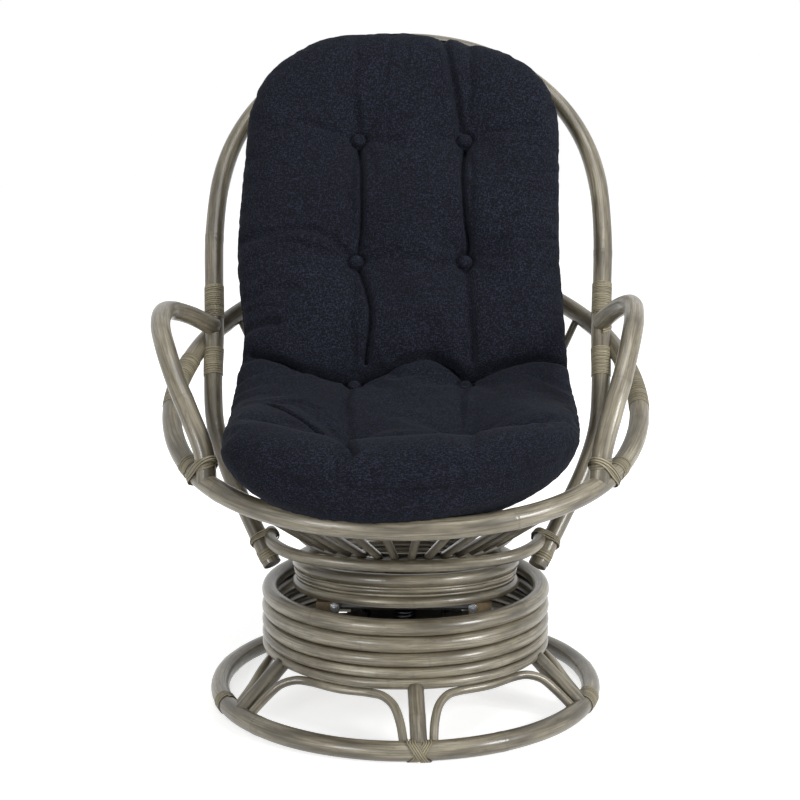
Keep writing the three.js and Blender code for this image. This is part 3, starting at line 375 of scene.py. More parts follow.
def roll_pole(bm, route, radius_at, seed, sides=20, spacing=9.0, joint_gap=380, ease=1.2, groove=0.0):
    chance = np.random.default_rng(seed)
    joints = joint_places(route.length, seed, joint_gap)
    count = max(int(route.length / spacing), 2)
    rows = [np.linspace(0, route.length, count + 1)] + [joints + d for d in JOINT_ROWS]
    rows = np.unique(np.clip(np.concatenate(rows), 0, route.length))
    rows = rows[np.r_[True, np.diff(rows) > 0.3]]
    wander, offset = chance.uniform(0, 50, 2), chance.uniform(0, 4000)

    def place_of(angle, s):
        swell, ring = np.zeros_like(s), np.zeros_like(s)
        for joint in joints:
            swell += 0.5 * np.exp(-(((s - joint) / 6) ** 2)) - 0.3 * np.exp(-(((s - joint) / 1.5) ** 2))
            ring += 0.4 * np.exp(-(((s - joint - 1.2 * np.sin(angle)) / 2.0) ** 2))
        uneven = 0.22 * np.sin(s / 61 + wander[0]) * np.cos(angle + s / 230 + wander[1])
        uneven = uneven + 0.14 * np.sin(s / 23 + wander[1])
        base = radius_at(s)
        places, _ = route.beside(s, angle, base + (swell + uneven) * base / USUAL_RADIUS)
        grain = np.stack([base * np.cos(angle), base * np.sin(angle), s + offset], axis=-1)
        # Each pole is drawn darker within a few millimetres of its ends.
        ring += np.exp(-((s / END_DARKENING) ** 2)) + np.exp(-(((route.length - s) / END_DARKENING) ** 2))
        # The last term is a painted shade on the top and bottom of a ring, where it touches the next one.
        return places, grain, np.minimum(ring + groove * np.sin(angle) ** 12, 1)

    caps = tube(bm, sides, rows, place_of)
    rims = list({e for face in caps for e in face.edges})
    bmesh.ops.bevel(
        bm, geom=rims, offset=ease * MM, offset_type="OFFSET", segments=2, profile=0.5, affect="EDGES",
        material=-1,
    )
    for face in bm.faces:
        face.smooth = len(face.verts) <= 4


constant = lambda radius: (lambda s: np.full_like(s, float(radius)))


def pole(name, route, radius, body, seed, nodes=(), tone=0.0, **how):
    bm = bmesh.new()
    roll_pole(bm, route, radius if callable(radius) else constant(radius), seed, **how)
    piece = finish_piece(name, bm, rattan, body, tone, nodes)
    print(name, round(route.length), "mm long,", len(piece.data.polygons), "faces")


print("leaf joints on a 2 m stem:", joint_places(2000, 1, 380).round())

# %% [markdown]
# A cane binding is one strip that is wound round a pole, turn after turn. Here a strip is the same rolled
# grid with a flat, slightly domed section. It follows a line that is given on the pole's own surface: how
# far along, at which angle, and how high over the surface. That makes plain turns, slanting turns and
# crossed lashings alike.

# %% Winding cane on a pole
CANE_THICKNESS = 1.2
STEPS_A_TURN = 26


def lay_strip(bm, route, radius_at, s, angle, lift, width, seed):
    """s, angle and lift are arrays along the strip."""
    middle, out = route.beside(s, angle, radius_at(s) + np.broadcast_to(lift, s.shape))
    walk = np.r_[0, np.cumsum(np.linalg.norm(np.diff(middle, axis=0), axis=1))]
    forward = unit(np.gradient(middle, walk, axis=0))
    aside = unit(np.cross(out, forward))
    offset = np.random.default_rng(seed).uniform(0, 3000)

    def place_of(turn, station):
        i = station.astype(int)
        c, h = np.cos(turn), np.sin(turn)
        across = width / 2 * np.sign(c) * np.abs(c) ** 0.4
        up = CANE_THICKNESS / 2 * (1 + np.sign(h) * np.abs(h) ** 0.5)
        up = up + 0.1 * (1 - (2 * across / width) ** 2) * (h > 0)
        places = middle[i] + aside[i] * across[:, None] + out[i] * up[:, None]
        grain = np.stack([across, up, walk[i] + offset], axis=-1)
        # A strip's edges are drawn dark, a painted shade for the gaps between turns.
        gap_shade = np.clip((np.abs(2 * across / width) - 0.72) / 0.28, 0, 1) * 0.85
        return places, grain, gap_shade

    tube(bm, 10, np.arange(len(s), dtype=float), place_of)
    for face in bm.faces:
        face.smooth = True


def wind(bm, route, radius_at, middle, length, turns, seed, slant=0.0):
    """Plain turns side by side, with the small unevenness of a hand-wound strip."""
    chance = np.random.default_rng(seed)
    pitch = length / turns
    t = np.linspace(0, turns, turns * STEPS_A_TURN + 1)
    wobble = np.interp(t, np.arange(turns + 2), chance.normal(0, 0.13, turns + 2) * pitch)
    angle = 2 * math.pi * t
    s = middle - length / 2 + t * pitch + wobble + slant * np.cos(angle)
    lay_strip(bm, route, radius_at, s, angle, 0.0, pitch * 0.97, seed)


def binding(name, bm, body, nodes=(), tone=0.0):
    piece = finish_piece(name, bm, cane, body, tone, nodes)
    print(name, len(piece.data.polygons), "faces")


print("a strip is", CANE_THICKNESS, "mm thick")

# %% [markdown]
# The floor ring is what the whole chair stands on: one bent 30 mm pole. It is made of a front and a rear
# length, whose ends meet right and left under a cane binding, so the joints never show.

# %% Floor ring
BASE_TURN = 5
FLOOR_RING_RADIUS = 294
MAIN_RADIUS = 15
THINNED_RADIUS = MAIN_RADIUS - 0.4
RIGHT_JOINT, LEFT_JOINT = 68, 287
JOINT_GAP = 0.05


def ring_route(radius, start, end, height, turn=0.0):
    return Route(around(radius, np.linspace(start + turn, end + turn, 360), height), outwards)


for name, start, end, seed, tone in (
    ("front", LEFT_JOINT - 360, RIGHT_JOINT, 11, -0.14), ("rear", RIGHT_JOINT, LEFT_JOINT, 12, -0.1),
):
    route = ring_route(FLOOR_RING_RADIUS, start + JOINT_GAP, end - JOINT_GAP, MAIN_RADIUS, BASE_TURN)
    pole(f"floor_ring_{name}", route, THINNED_RADIUS, "base", seed, ["floor_ring"], tone, sides=24)

# %% [markdown]
# The drum is a stack of five poles, each bent into its own circle, glued and nailed to its neighbours. The
# two upper ones are thick, the middle one less and the two lowest thin. Five separate rings are made,
# because each real one has its own colour, grain and joint. The joints are staggered round the back.

# %% Drum
DRUM_OUTER_RADIUS = 226
DRUM_BOTTOM_HEIGHT = 79
DRUM_POLE_RADII = (8.25, 8.25, 10.5, 12.5, 12.5)
DRUM_TONES = (0.0, 0.09, 0.04, 0.08, 0.03)
# The strength of the painted shade where the drum's rings touch.
DRUM_CONTACT_SHADE = 1.6
SEAT_GAP = 0.3
NEARLY_ROUND = 359.98

drum_height = DRUM_BOTTOM_HEIGHT
for i, (radius, tone) in enumerate(zip(DRUM_POLE_RADII, DRUM_TONES)):
    start = 168 + 9 * i
    middle_radius = DRUM_OUTER_RADIUS - radius
    route = ring_route(middle_radius, start, start + NEARLY_ROUND, drum_height + radius, BASE_TURN)
    pole(
        f"drum_pole_{5 - i}", route, radius + 0.1, "base", 21 + i, [f"drum_ring_{5 - i}"], tone, sides=24,
        groove=DRUM_CONTACT_SHADE, ease=0.3,
    )
    drum_height += 2 * radius + SEAT_GAP
lowest_drum_radius = DRUM_OUTER_RADIUS - DRUM_POLE_RADII[0]
lowest_drum_height = DRUM_BOTTOM_HEIGHT + DRUM_POLE_RADII[0]
print("the drum's top is", round(drum_height), "mm over the floor")

# %% [markdown]
# Five legs run from the drum out and down to the floor ring. Their ends are coped, which means hollowed to
# fit the pole that they meet. Running each end a little way into its neighbour shows the same line and is
# simpler.

# %% Legs
LEG_ANGLES = (0, 62, 141, 219, 298)
LEG_RADIUS = 12.3
LEG_NAMES = ("front", "right", "back_right", "back_left", "left")

for i, (name, angle) in enumerate(zip(LEG_NAMES, LEG_ANGLES)):
    head = around(lowest_drum_radius + 2, angle + BASE_TURN, lowest_drum_height - 4)
    foot = around(FLOOR_RING_RADIUS - 3, angle + BASE_TURN, MAIN_RADIUS + 5)
    route = Route(np.linspace(head, foot, 30), lambda p: np.cross(outwards(p), (0, 0, 1)))
    pole(f"{name}_leg_pole", route, LEG_RADIUS, "base", 31 + i, [f"{name}_leg"], -0.14, joint_gap=60)

# %% [markdown]
# Between the legs, thin rattan is bent into arches that brace them and carry the drum's lowest ring. An
# arch climbs beside one leg, runs level under the drum and comes down beside the next. Its half is a table
# of shares: how far down the leg, and how far it has spread from beside the leg to where it runs level.

# %% Arches
ARCH_RADIUS = 6.6
ARCH_SPREAD = 17
ARCH_SHARES = ((1, 0), (0.8, 0.02), (0.56, 0.08), (0.33, 0.24), (0.12, 0.58))
arch_corner = ARCH_RADIUS / math.cos(math.pi / 6)
arch_top = DRUM_BOTTOM_HEIGHT - SEAT_GAP - arch_corner
arch_beside = LEG_RADIUS / math.cos(math.pi / 8) + arch_corner + SEAT_GAP


def arch_half(angle, side):
    places = []
    for down, spread in ARCH_SHARES:
        radius = lowest_drum_radius + (FLOOR_RING_RADIUS - lowest_drum_radius) * down
        height = min(lowest_drum_height + (MAIN_RADIUS - lowest_drum_height) * down, arch_top)
        beside = math.degrees(arch_beside / radius)
        beside += (ARCH_SPREAD - beside) * spread
        places.append(around(radius, angle + side * beside + BASE_TURN, height))
    return places


for i, (name, angle, other) in enumerate(zip(LEG_NAMES, LEG_ANGLES, LEG_ANGLES[1:] + (360,))):
    level_part = (angle + ARCH_SPREAD, (angle + other) / 2, other - ARCH_SPREAD)
    top = [around(lowest_drum_radius, a + BASE_TURN, arch_top) for a in level_part]
    route = Route(spline(arch_half(angle, 1) + top + arch_half(other, -1)[::-1]))
    pole(f"{name}_arch_pole", route, ARCH_RADIUS, "base", 41 + i, [f"{name}_arch"], 0.02, sides=14, spacing=7)

# %% [markdown]
# Three bindings sit on the floor ring. Right and left they are plain turns over the joints of the ring.
# Under the ring the strip is let into the pole, so that the chair stands on wood and not on cane: the strip
# is brought in at the bottom until it stays over the floor.

# %% Plain bindings on the floor ring
def floor_lift(angle, layer=0.0):
    down = np.clip(np.sin(angle), 1e-3, None)
    free = (MAIN_RADIUS - CANE_THICKNESS - 0.5) / down - THINNED_RADIUS
    return np.minimum(0.15 + layer, free)


bound_radius = constant(THINNED_RADIUS)
RING_BINDINGS = (("right", RIGHT_JOINT, 9, 4.8, 51), ("left", LEFT_JOINT, 5, 4.6, 52))
for name, middle, turns, pitch, seed in RING_BINDINGS:
    route = ring_route(FLOOR_RING_RADIUS, middle - 12, middle + 12, MAIN_RADIUS, BASE_TURN)
    chance = np.random.default_rng(seed)
    t = np.linspace(0, turns, turns * 30 + 1)
    angle = 2 * math.pi * t - math.pi / 2
    wobble = np.interp(t, np.arange(turns + 2), chance.normal(0, 0.06, turns + 2) * pitch)
    s = route.length / 2 + (t - turns / 2) * pitch + wobble
    bm = bmesh.new()
    lay_strip(bm, route, bound_radius, s, angle, floor_lift(angle), pitch * 0.93, seed)
    binding(f"{name}_ring_cane", bm, "base", [f"{name}_ring_binding"], 0.16)

# %% [markdown]
# In front a crossed lashing ties the front leg down: strands lean one way and then the other over the ring,
# and read as a plait of X shapes. Each strand is a strip on the pole's surface, and the upper layer is
# lifted by one strip.

# %% Crossed lashing on the floor ring
STRAND_OFFSETS = (-5.4, -1.8, 1.8, 5.4)
STRAND_WIDTH = 2.9
STRAND_LAYER = 1.25

route = ring_route(FLOOR_RING_RADIUS, -12, 12, MAIN_RADIUS, BASE_TURN)
bm = bmesh.new()
angle = np.radians(np.linspace(112, -100, 60))
swing = np.interp(angle, np.radians([-100, -62, 4, 70, 112]), [-12, -12, 0, 12, 12])
for strand, offset in enumerate(STRAND_OFFSETS):
    for lean in (-1, 1):
        lift = floor_lift(angle, STRAND_LAYER if lean > 0 else 0.0)
        s = route.length / 2 + offset + lean * swing * 0.95
        lay_strip(bm, route, bound_radius, s, angle, lift, STRAND_WIDTH, 60 + strand)
binding("front_ring_cane", bm, "base", ["front_ring_binding"], 0.34)

# %% [markdown]
# Above the mechanism sits a second stack of rings, leaning back with the seat: a thick ring on top, a thin
# strip, a thin ring, another strip, and a thick ring at the bottom. They are level circles first, and then
# one function leans them back about the rocker's axle, just as the CAD does.

# %% Stacked rings under the seat
REST_TILT = 5
AXLE_HEIGHT = 138
STACK_OUTER_RADIUS = 179
STACK_POLE_RADII = (8.1, 2.1, 4.2, 10.2)
STACK_TONES = (-0.16, 0.02, -0.1, -0.22)
# The strength of the painted shade where the stack's rings touch.
STACK_CONTACT_SHADE = 1.4
RAIL_TOP = 33.3
THIN, THICK = {"sides": 12, "joint_gap": 900, "ease": 0.4}, {"sides": 22, "joint_gap": 250}


def leaned(places):
    a = math.radians(-REST_TILT)
    y, z = places[..., 1], places[..., 2]
    turned = np.array(places, float)
    turned[..., 1] = y * math.cos(a) - z * math.sin(a)
    turned[..., 2] = y * math.sin(a) + z * math.cos(a) + AXLE_HEIGHT
    return turned


def leaned_ring(mean, height, start):
    flat = around(mean, np.linspace(start, start + NEARLY_ROUND, 360), height)
    centre = leaned(np.array([0.0, 0.0, height]))
    return Route(leaned(flat), lambda p: unit(p - centre))


stack_height = RAIL_TOP + SEAT_GAP
thickest = max(STACK_POLE_RADII) / math.cos(math.pi / 8)
for i, (radius, tone) in enumerate(zip(STACK_POLE_RADII, STACK_TONES)):
    thin = radius < 6
    mean = STACK_OUTER_RADIUS - (thickest - 3 if thin else radius / math.cos(math.pi / 8))
    route = leaned_ring(mean, stack_height + radius, 150 + 14 * i)
    pole(
        f"stack_pole_{4 - i}", route, radius + 0.15, "seat", 71 + i, [f"stack_ring_{4 - i}"], tone,
        groove=STACK_CONTACT_SHADE, **(THIN if thin else THICK),
    )
    stack_height += 2 * radius + SEAT_GAP
upper_strip = leaned_ring(STACK_OUTER_RADIUS - 4.6, RAIL_TOP + 2 * sum(STACK_POLE_RADII[:3]) + 1.5, 190)
pole("stack_strip", upper_strip, 1.7, "seat", 78, sides=8, joint_gap=900, ease=0.3)
stack_top = leaned(np.array([0.0, 0.0, stack_height - SEAT_GAP]))[2]
print("the stack's top is", round(stack_top, 1), "mm over the floor at its middle")

# %% [markdown]
# The rim is the big ring of the bowl. It is an oval that climbs from knee height in front to mid back, bent
# from a front and a rear pole that meet under the long splices. Its height is read from a table of shares
# with a smooth curve between the rows, and the line is drawn by angle, as the CAD draws it.

# %% Rim
RIM_HALF_WIDTH, RIM_HALF_DEPTH = 359, 338
RIM_FRONT_HEIGHT, RIM_BACK_HEIGHT = 352, 648
RIM_SPLICE_ANGLE = 100
RIM_SHARES = (
    (0, 0), (0.111, 0.0135), (0.222, 0.064), (0.333, 0.159), (0.444, 0.311), (0.5, 0.3986),
    (0.5556, 0.493), (0.65, 0.662), (0.7778, 0.845), (0.8889, 0.959), (1, 1),
)


def between(table, share):
    """A smooth value between the rows of a table."""
    at, value = np.array(table, float).T
    slope = np.zeros_like(at)
    slope[1:-1] = (value[2:] - value[:-2]) / (at[2:] - at[:-2])
    share = np.clip(np.asarray(share, float), at[0], at[-1])
    i = np.clip(np.searchsorted(at, share) - 1, 0, len(at) - 2)
    width = at[i + 1] - at[i]
    t = (share - at[i]) / width
    smooth = t * t * (3 - 2 * t)
    return (
        value[i] + (value[i + 1] - value[i]) * smooth
        + t * (1 - t) ** 2 * width * slope[i] + t * t * (t - 1) * width * slope[i + 1]
    )


def rim_place(angle):
    angle = np.asarray(angle, float)
    folded = np.abs((angle + 180) % 360 - 180) / 180
    height = RIM_FRONT_HEIGHT + (RIM_BACK_HEIGHT - RIM_FRONT_HEIGHT) * between(RIM_SHARES, folded)
    return around(1, angle, height) * (RIM_HALF_WIDTH, RIM_HALF_DEPTH, 1)


def rim_route(start, end):
    return Route(rim_place(np.linspace(start, end, 400)), outwards)


front_rim = rim_route(-RIM_SPLICE_ANGLE, RIM_SPLICE_ANGLE)
rear_rim = rim_route(RIM_SPLICE_ANGLE, 360 - RIM_SPLICE_ANGLE)
pole("front_rim_pole", front_rim, MAIN_RADIUS, "seat", 82, ["front_rim"], -0.02, sides=24)
pole("rear_rim_pole", rear_rim, MAIN_RADIUS, "seat", 83, ["rear_rim"], -0.08, sides=24)

# %% [markdown]
# The back hoop is one long pole that is bent into the outline of the back and leans with it. It is thickest
# beside the arms and thinner at its top and at its two feet, which come down beside the stack.

# %% Back hoop
HOOP_LEAN = 30.3
HOOP_HALF_WIDTH = 320
HOOP_TOP_REACH = 561
HOOP_FOOT_REACH = 366.9
HOOP_PLANE = (118, 540)
HOOP_SHARES = (
    (0.634, -1), (0.684, -0.9174), (0.766, -0.7737), (0.872, -0.5765), (0.944, -0.3823), (0.969, -0.1468),
    (0.972, 0.01), (0.988, 0.175), (1, 0.352), (0.98, 0.524), (0.914, 0.658), (0.788, 0.782), (0.598, 0.89),
    (0.325, 0.971),
)
HOOP_RADII = ((0, 14.2), (0.14, 13.6), (0.3, 15), (0.62, 15), (0.86, 12.2), (1, 12.2))


def hoop_place(out, along, back=0.0):
    lean = math.radians(HOOP_LEAN)
    return np.array([
        out,
        HOOP_PLANE[0] + along * math.sin(lean) + back * math.cos(lean),
        HOOP_PLANE[1] + along * math.cos(lean) - back * math.sin(lean),
    ])


def hoop_side(side):
    return [
        hoop_place(side * out * HOOP_HALF_WIDTH, along * (HOOP_FOOT_REACH if along < 0 else HOOP_TOP_REACH))
        for out, along in HOOP_SHARES
    ]


hoop = Route(spline(hoop_side(-1) + [hoop_place(0, HOOP_TOP_REACH)] + hoop_side(1)[::-1]), outwards)
hoop_radius = lambda s: between(HOOP_RADII, 1 - np.abs(1 - 2 * s / hoop.length))
pole("back_hoop_pole", hoop, hoop_radius, "seat", 86, ["back_hoop"], -0.16, sides=24)

# %% [markdown]
# Each arm is a short thick pole in a tight bend. It starts on the post of the back, swings out and forward,
# and comes down to the rim, where it is lashed. The two arms are bent by hand and differ a little.

# %% Arms
ARM_SHARES = (  # how far out, back and up each place of the arm is
    (0, 0.372, 0.845), (0.54, 0.266, 0.944), (0.98, 0.118, 1), (0.982, -0.148, 0.963), (0.796, -0.325, 0.847),
    (0.525, -0.459, 0.67), (0.3, -0.533, 0.524), (0, -0.6, 0.294), (0, -0.622, 0.132),
)
ARM_HEAD_HALF_WIDTH = 0.972 * HOOP_HALF_WIDTH
ARM_FOOT_HALF_WIDTH = 281
arms = {}
for name, side, bulge, top_height, seed in (("left", -1, 70, 602, 91), ("right", 1, 45, 614, 92)):
    places = []
    for i, (out, back, up) in enumerate(ARM_SHARES):
        widening = (ARM_FOOT_HALF_WIDTH - ARM_HEAD_HALF_WIDTH) * i / (len(ARM_SHARES) - 1)
        straight = ARM_HEAD_HALF_WIDTH + widening
        height = RIM_FRONT_HEIGHT + (top_height - RIM_FRONT_HEIGHT) * up
        places.append((side * (straight + out * bulge), back * RIM_HALF_DEPTH, height))
    arms[name] = Route(spline(places))
    pole(
        f"{name}_arm_pole", arms[name], MAIN_RADIUS, "seat", seed, [f"{name}_arm"], -0.08, sides=24,
        spacing=7,
        joint_gap=230,
    )

# %% [markdown]
# Under the seat a thin hoop lies across the front of the stack with its ends lashed to the feet of the back
# hoop.

# %% Lower hoop
LOWER_HOOP_SHARES = ((1, 0.2, 1), (0.97, 0.48, 0.68), (0.79, 0.77, 0.34), (0.43, 0.948, 0.08))
LOWER_HALF_WIDTH, LOWER_REACH, LOWER_RISE = 208, 171, 15
LOWER_RADIUS = 9.5
lower_height = stack_top + 31.1


def lower_side(side):
    return [
        (side * out * LOWER_HALF_WIDTH, -forward * LOWER_REACH, lower_height + up * LOWER_RISE)
        for out, forward, up in LOWER_HOOP_SHARES
    ]


front_place = (0, -LOWER_REACH, lower_height)
lower_hoop = Route(spline(lower_side(-1) + [front_place] + lower_side(1)[::-1]), outwards)
pole("lower_hoop_pole", lower_hoop, LOWER_RADIUS, "seat", 101, ["lower_hoop"], -0.16, sides=18)

# %% [markdown]
# An inner ring and a fan of thin spindles make the bowl that carries the pad. The spindles are straight
# sticks that are nailed to the rim and to the ring, so they are plain poles that run into both. Two short
# props carry the rear of the ring on the stack. The whole basket is one piece, because its poles are nailed
# together.

# %% Basket
BASKET_HALF_WIDTH, BASKET_HALF_DEPTH = 168, 160
BASKET_TILT = 2.5
BASKET_RADII = {"ring": 8, "spindle": 6, "prop": 9}
SPINDLE_ANGLES = (4, 12, 20, 28, 36, 44, 54, 128)
PROP_ANGLE = 152


def basket_place(angle):
    turned = around(1, angle, 0) * (BASKET_HALF_WIDTH, BASKET_HALF_DEPTH, 0)
    a, y = math.radians(BASKET_TILT), turned[..., 1].copy()
    turned[..., 1] = y * math.cos(a) + 5
    turned[..., 2] = y * math.sin(a) + stack_top + 44.3
    return turned


bm = bmesh.new()
basket_ring = Route(basket_place(np.linspace(170, 529.8, 300)), outwards)
roll_pole(bm, basket_ring, constant(BASKET_RADII["ring"]), 111, sides=14)
for i, angle in enumerate(SPINDLE_ANGLES):
    for side in (-1, 1):
        spindle = Route(np.linspace(basket_place(side * angle), rim_place(side * angle), 20))
        thickness = constant(BASKET_RADII["spindle"])
        roll_pole(bm, spindle, thickness, 112 + 2 * i + side, sides=12, joint_gap=120, spacing=12)
for side in (-1, 1):
    foot = leaned(around(STACK_OUTER_RADIUS - 10.2, side * PROP_ANGLE, stack_height - SEAT_GAP - 10.2))
    prop = Route(np.linspace(basket_place(side * PROP_ANGLE), foot, 12))
    roll_pole(bm, prop, constant(BASKET_RADII["prop"]), 133 + side, sides=14, joint_gap=500, spacing=12)
# The basket's poles are toned far darker than the rest, a painted shade for the deep shade under the pad.
basket = finish_piece("basket_poles", bm, rattan, "seat", -0.42, ["seat_basket"])
print("basket", len(basket.data.polygons), "faces")

# %% [markdown]
# Three spindles stand behind the pad. Each comes up from the basket's ring, passes the rear rim on its
# inner side, bends back to lie behind the pad, and ends on the arch of the hoop.

# %% Back spindles
BACK_SPINDLE_RADIUS = 8
back_routes = {}
for name, side in (("left", -1), ("middle", 0), ("right", 1)):
    foot = basket_place(180 - side * 34)
    rim_angle = 180 - side * 19.5
    inside = rim_place(rim_angle) - around(1, rim_angle, 0) * (MAIN_RADIUS + BACK_SPINDLE_RADIUS + 2)
    low = hoop_place(side * 112 * 0.85, HOOP_TOP_REACH * 0.36, 17 * 3.1)
    high = hoop_place(side * 112, HOOP_TOP_REACH * (0.965 if side else 1))
    route = back_routes[name] = Route(spline([foot, inside, low, high]))
    nodes = [f"{name}_back_spindle"]
    pole(f"{name}_back_pole", route, BACK_SPINDLE_RADIUS, "seat", 141 + side, nodes, -0.24, sides=16)

# %% [markdown]
# The bindings of the seat hold its poles together, and they are what makes such a chair look hand made. The
# long splices of the rim, the bands on the posts and the ones at the feet are plain turns. The turns have
# the real pitch of 3 to 5 mm, which the simpler CAD bindings don't.

# %% Splices of the rim
RIM_SPLICE = (96, 126, 26)  # angle, length, turns

for name, side, seed in (("left", -1, 151), ("right", 1, 152)):
    angle, length, turns = RIM_SPLICE
    stretch = rim_route(angle * side - 24, angle * side + 24)
    bm = bmesh.new()
    wind(bm, stretch, bound_radius, stretch.length / 2, length, turns, seed)
    binding(f"{name}_rim_cane", bm, "seat", [f"{name}_rim_binding"], -0.02)

# %% [markdown]
# Where an arm meets the rim there are turns round the rim and a few round the low end of the arm. The turns
# slant a little, because they were wound towards the joint. Both make one piece.

# %% A binding at an arm
ARM_ANGLE = 60


def bind_arm(name, side):
    arm = arms[name]
    arm_s = front_rim.nearest(rim_place(side * ARM_ANGLE))
    bm = bmesh.new()
    wind(bm, front_rim, bound_radius, arm_s, 24, 5, 184 + side, slant=2.5)
    wind(bm, arm, bound_radius, arm.length - 30, 13, 3, 188 + side, slant=3)
    binding(f"{name}_arm_cane", bm, "seat", [f"{name}_arm_binding"], 0.06)


print("the arms meet the rim", ARM_ANGLE, "degrees from its front")

# %% [markdown]
# Each post has an upper and a lower band, and each foot a short one. Three loose strands cross each upper
# band, where the end of the arm is tied in.

# %% Bindings of the posts, the feet and the arms
POST_BINDINGS = {  # height along the post, length, turns
    "left": (("upper", 70, 58, 17), ("lower", -34, 46, 12)),
    "right": (("upper", 76, 54, 20), ("lower", -33, 48, 18)),
}
POST_TONES = {"upper": 0.04, "lower": 0.12}
hoop_reach = lambda s: hoop_radius(s) - 0.4

for name, side in (("left", -1), ("right", 1)):
    for level, along, length, turns in POST_BINDINGS[name]:
        s = hoop.nearest(hoop_place(side * HOOP_HALF_WIDTH, along))
        bm = bmesh.new()
        wind(bm, hoop, hoop_reach, s, length, turns, 160 + turns + side)
        if level == "upper":
            slant = np.linspace(-1, 1, 40)
            for k in (0, 1, 2):
                low = s + side * 27 + side * (14 + 4 * k) + slant * 15
                lift = CANE_THICKNESS * (1 + 0.5 * (k % 2))
                lay_strip(bm, hoop, hoop_reach, low, 0.2 + slant * 1.6, lift, 3.6, 170 + k)
        binding(f"{name}_{level}_post_cane", bm, "seat", [f"{name}_{level}_post_binding"], POST_TONES[level])
    foot_s = hoop.nearest(hoop_place(side * 0.684 * HOOP_HALF_WIDTH, 10.9 - HOOP_FOOT_REACH))
    bm = bmesh.new()
    wind(bm, hoop, hoop_reach, foot_s, 17, 4, 180 + side)
    binding(f"{name}_foot_cane", bm, "seat", [f"{name}_foot_binding"], 0.06)
    bind_arm(name, side)

# %% [markdown]
# A lashing goes round two poles together, so its loop is the tight outline of two ovals, where its plane
# cuts the poles. The CAD has no lashings of this kind, so these pieces replace nothing. A tight outline is
# read from its reach in every direction: the distance to it at one angle is the least of all those reaches,
# each divided by the cosine of the angle between.

# %% A lashing round two poles
LOOP_STEPS = 240


def round_both(centre, along, side, poles):
    """Angles round the centre, and the distance to a tight loop round both poles at each."""
    other = np.cross(along, side)
    turns = np.linspace(0, 2 * math.pi, LOOP_STEPS)
    places = []
    for place, direction, radius in poles:
        normal = unit(np.cross(direction, (0.3, 0.2, 0.9)))
        across = np.cross(direction, normal)
        ring = place + radius * (np.cos(turns)[:, None] * normal + np.sin(turns)[:, None] * across)
        ring = ring + direction * (((centre - ring) @ along) / (direction @ along))[:, None]
        places.append(np.stack([(ring - centre) @ side, (ring - centre) @ other], axis=-1))
    reach = (np.vstack(places) @ np.stack([np.cos(turns), np.sin(turns)])).max(axis=0)
    cosine = np.cos(turns[:, None] - turns[None])
    return turns, np.where(cosine > 0.05, reach[None] / np.maximum(cosine, 0.05), 1e9).min(axis=1)


def lashing(name, first, second, along, strands, tone, width):
    """A pole is given as a place, a direction and a radius, and a strand as an offset, a lean and a layer."""
    centre, apart = (first[0] + second[0]) / 2, second[0] - first[0]
    line = centre + along * np.linspace(-24, 24, 30)[:, None]
    short = Route(line, lambda p: np.broadcast_to(apart, p.shape))
    turns, reach = round_both(centre, short.tangent[0], short.normal[0], (first, second))
    angle = np.linspace(0.3, 0.3 + 2 * math.pi, 90)
    bm = bmesh.new()
    for k, (offset, lean, layer) in enumerate(strands):
        lift = np.interp(angle % (2 * math.pi), turns, reach) + 0.3 + layer * CANE_THICKNESS
        s = 24 + offset + lean * np.sin(angle)
        lay_strip(bm, short, constant(0), s, angle, lift, width, 210 + k)
    binding(name, bm, "seat", tone=tone)


print("a loop is read at", LOOP_STEPS, "angles")

# %% [markdown]
# Each foot of the hoop is tied to the end of the lower hoop, where the two come nearest, with a few thin
# strands. Each arm is tied to the rim by strands that run from the rim beside it up and round the arm.

# %% Lashings at the feet and the arms
FOOT_STRANDS = ((-2.9, 3, 0), (0, 3, 0), (2.9, 3, 0), (-1, -4, 1))
ARM_STRANDS = ((-3.6, 2, 0), (0, 2, 0), (3.6, 2, 0), (-2, -3, 1), (2, -3, 1))

for name, side in (("left", -1), ("right", 1)):
    foot_places, foot_tangents, _, _ = hoop.along(np.linspace(0, hoop.length, 1200))
    tie_places, tie_tangents, _, _ = lower_hoop.along(np.linspace(0, lower_hoop.length, 400))
    near = tie_places[:, 0] * side > 150
    tie_places, tie_tangents = tie_places[near], tie_tangents[near]
    gaps = np.linalg.norm(foot_places[:, None] - tie_places[None], axis=2)
    i, j = np.unravel_index(gaps.argmin(), gaps.shape)
    down = foot_tangents[i] * np.sign(foot_tangents[i][2])
    across = tie_tangents[j] * np.sign(tie_tangents[j][2] + 1e-9)
    foot, tie = (foot_places[i], down, 14.2), (tie_places[j], across, LOWER_RADIUS + 0.4)
    lashing(f"{name}_foot_lashing", foot, tie, unit(down + 0.5 * across), FOOT_STRANDS, -0.06, 2.6)
    print(name, "foot and lower hoop are", round(float(gaps.min()), 1), "mm apart")

    arm = arms[name]
    arm_place, arm_down, _, _ = (v[0] for v in arm.along(np.array([arm.length - 27.0])))
    crossing = front_rim.nearest(arm.places[-1])
    rim_at, rim_way, _, _ = (v[0] for v in front_rim.along(np.array([crossing + side * 25.0])))
    on_arm, on_rim = (arm_place, arm_down, MAIN_RADIUS), (rim_at, rim_way, MAIN_RADIUS)
    lashing(f"{name}_arm_lashing", on_arm, on_rim, unit(side * rim_way - arm_down), ARM_STRANDS, 0.1, 3.4)

# %% [markdown]
# The mechanism is plain workshop steel: pressed plates with a black powder coat, zinc-plated fasteners and
# axle, and oiled black springs. Powder coat is a baked plastic film with a slight orange peel and dust in
# it. Zinc plating is a bright grey metal with a cloudy surface. The CAD plates have the right shape, so
# they stay and only get these finishes. Their patterns read object coordinates, because each node's place
# is in its mesh.

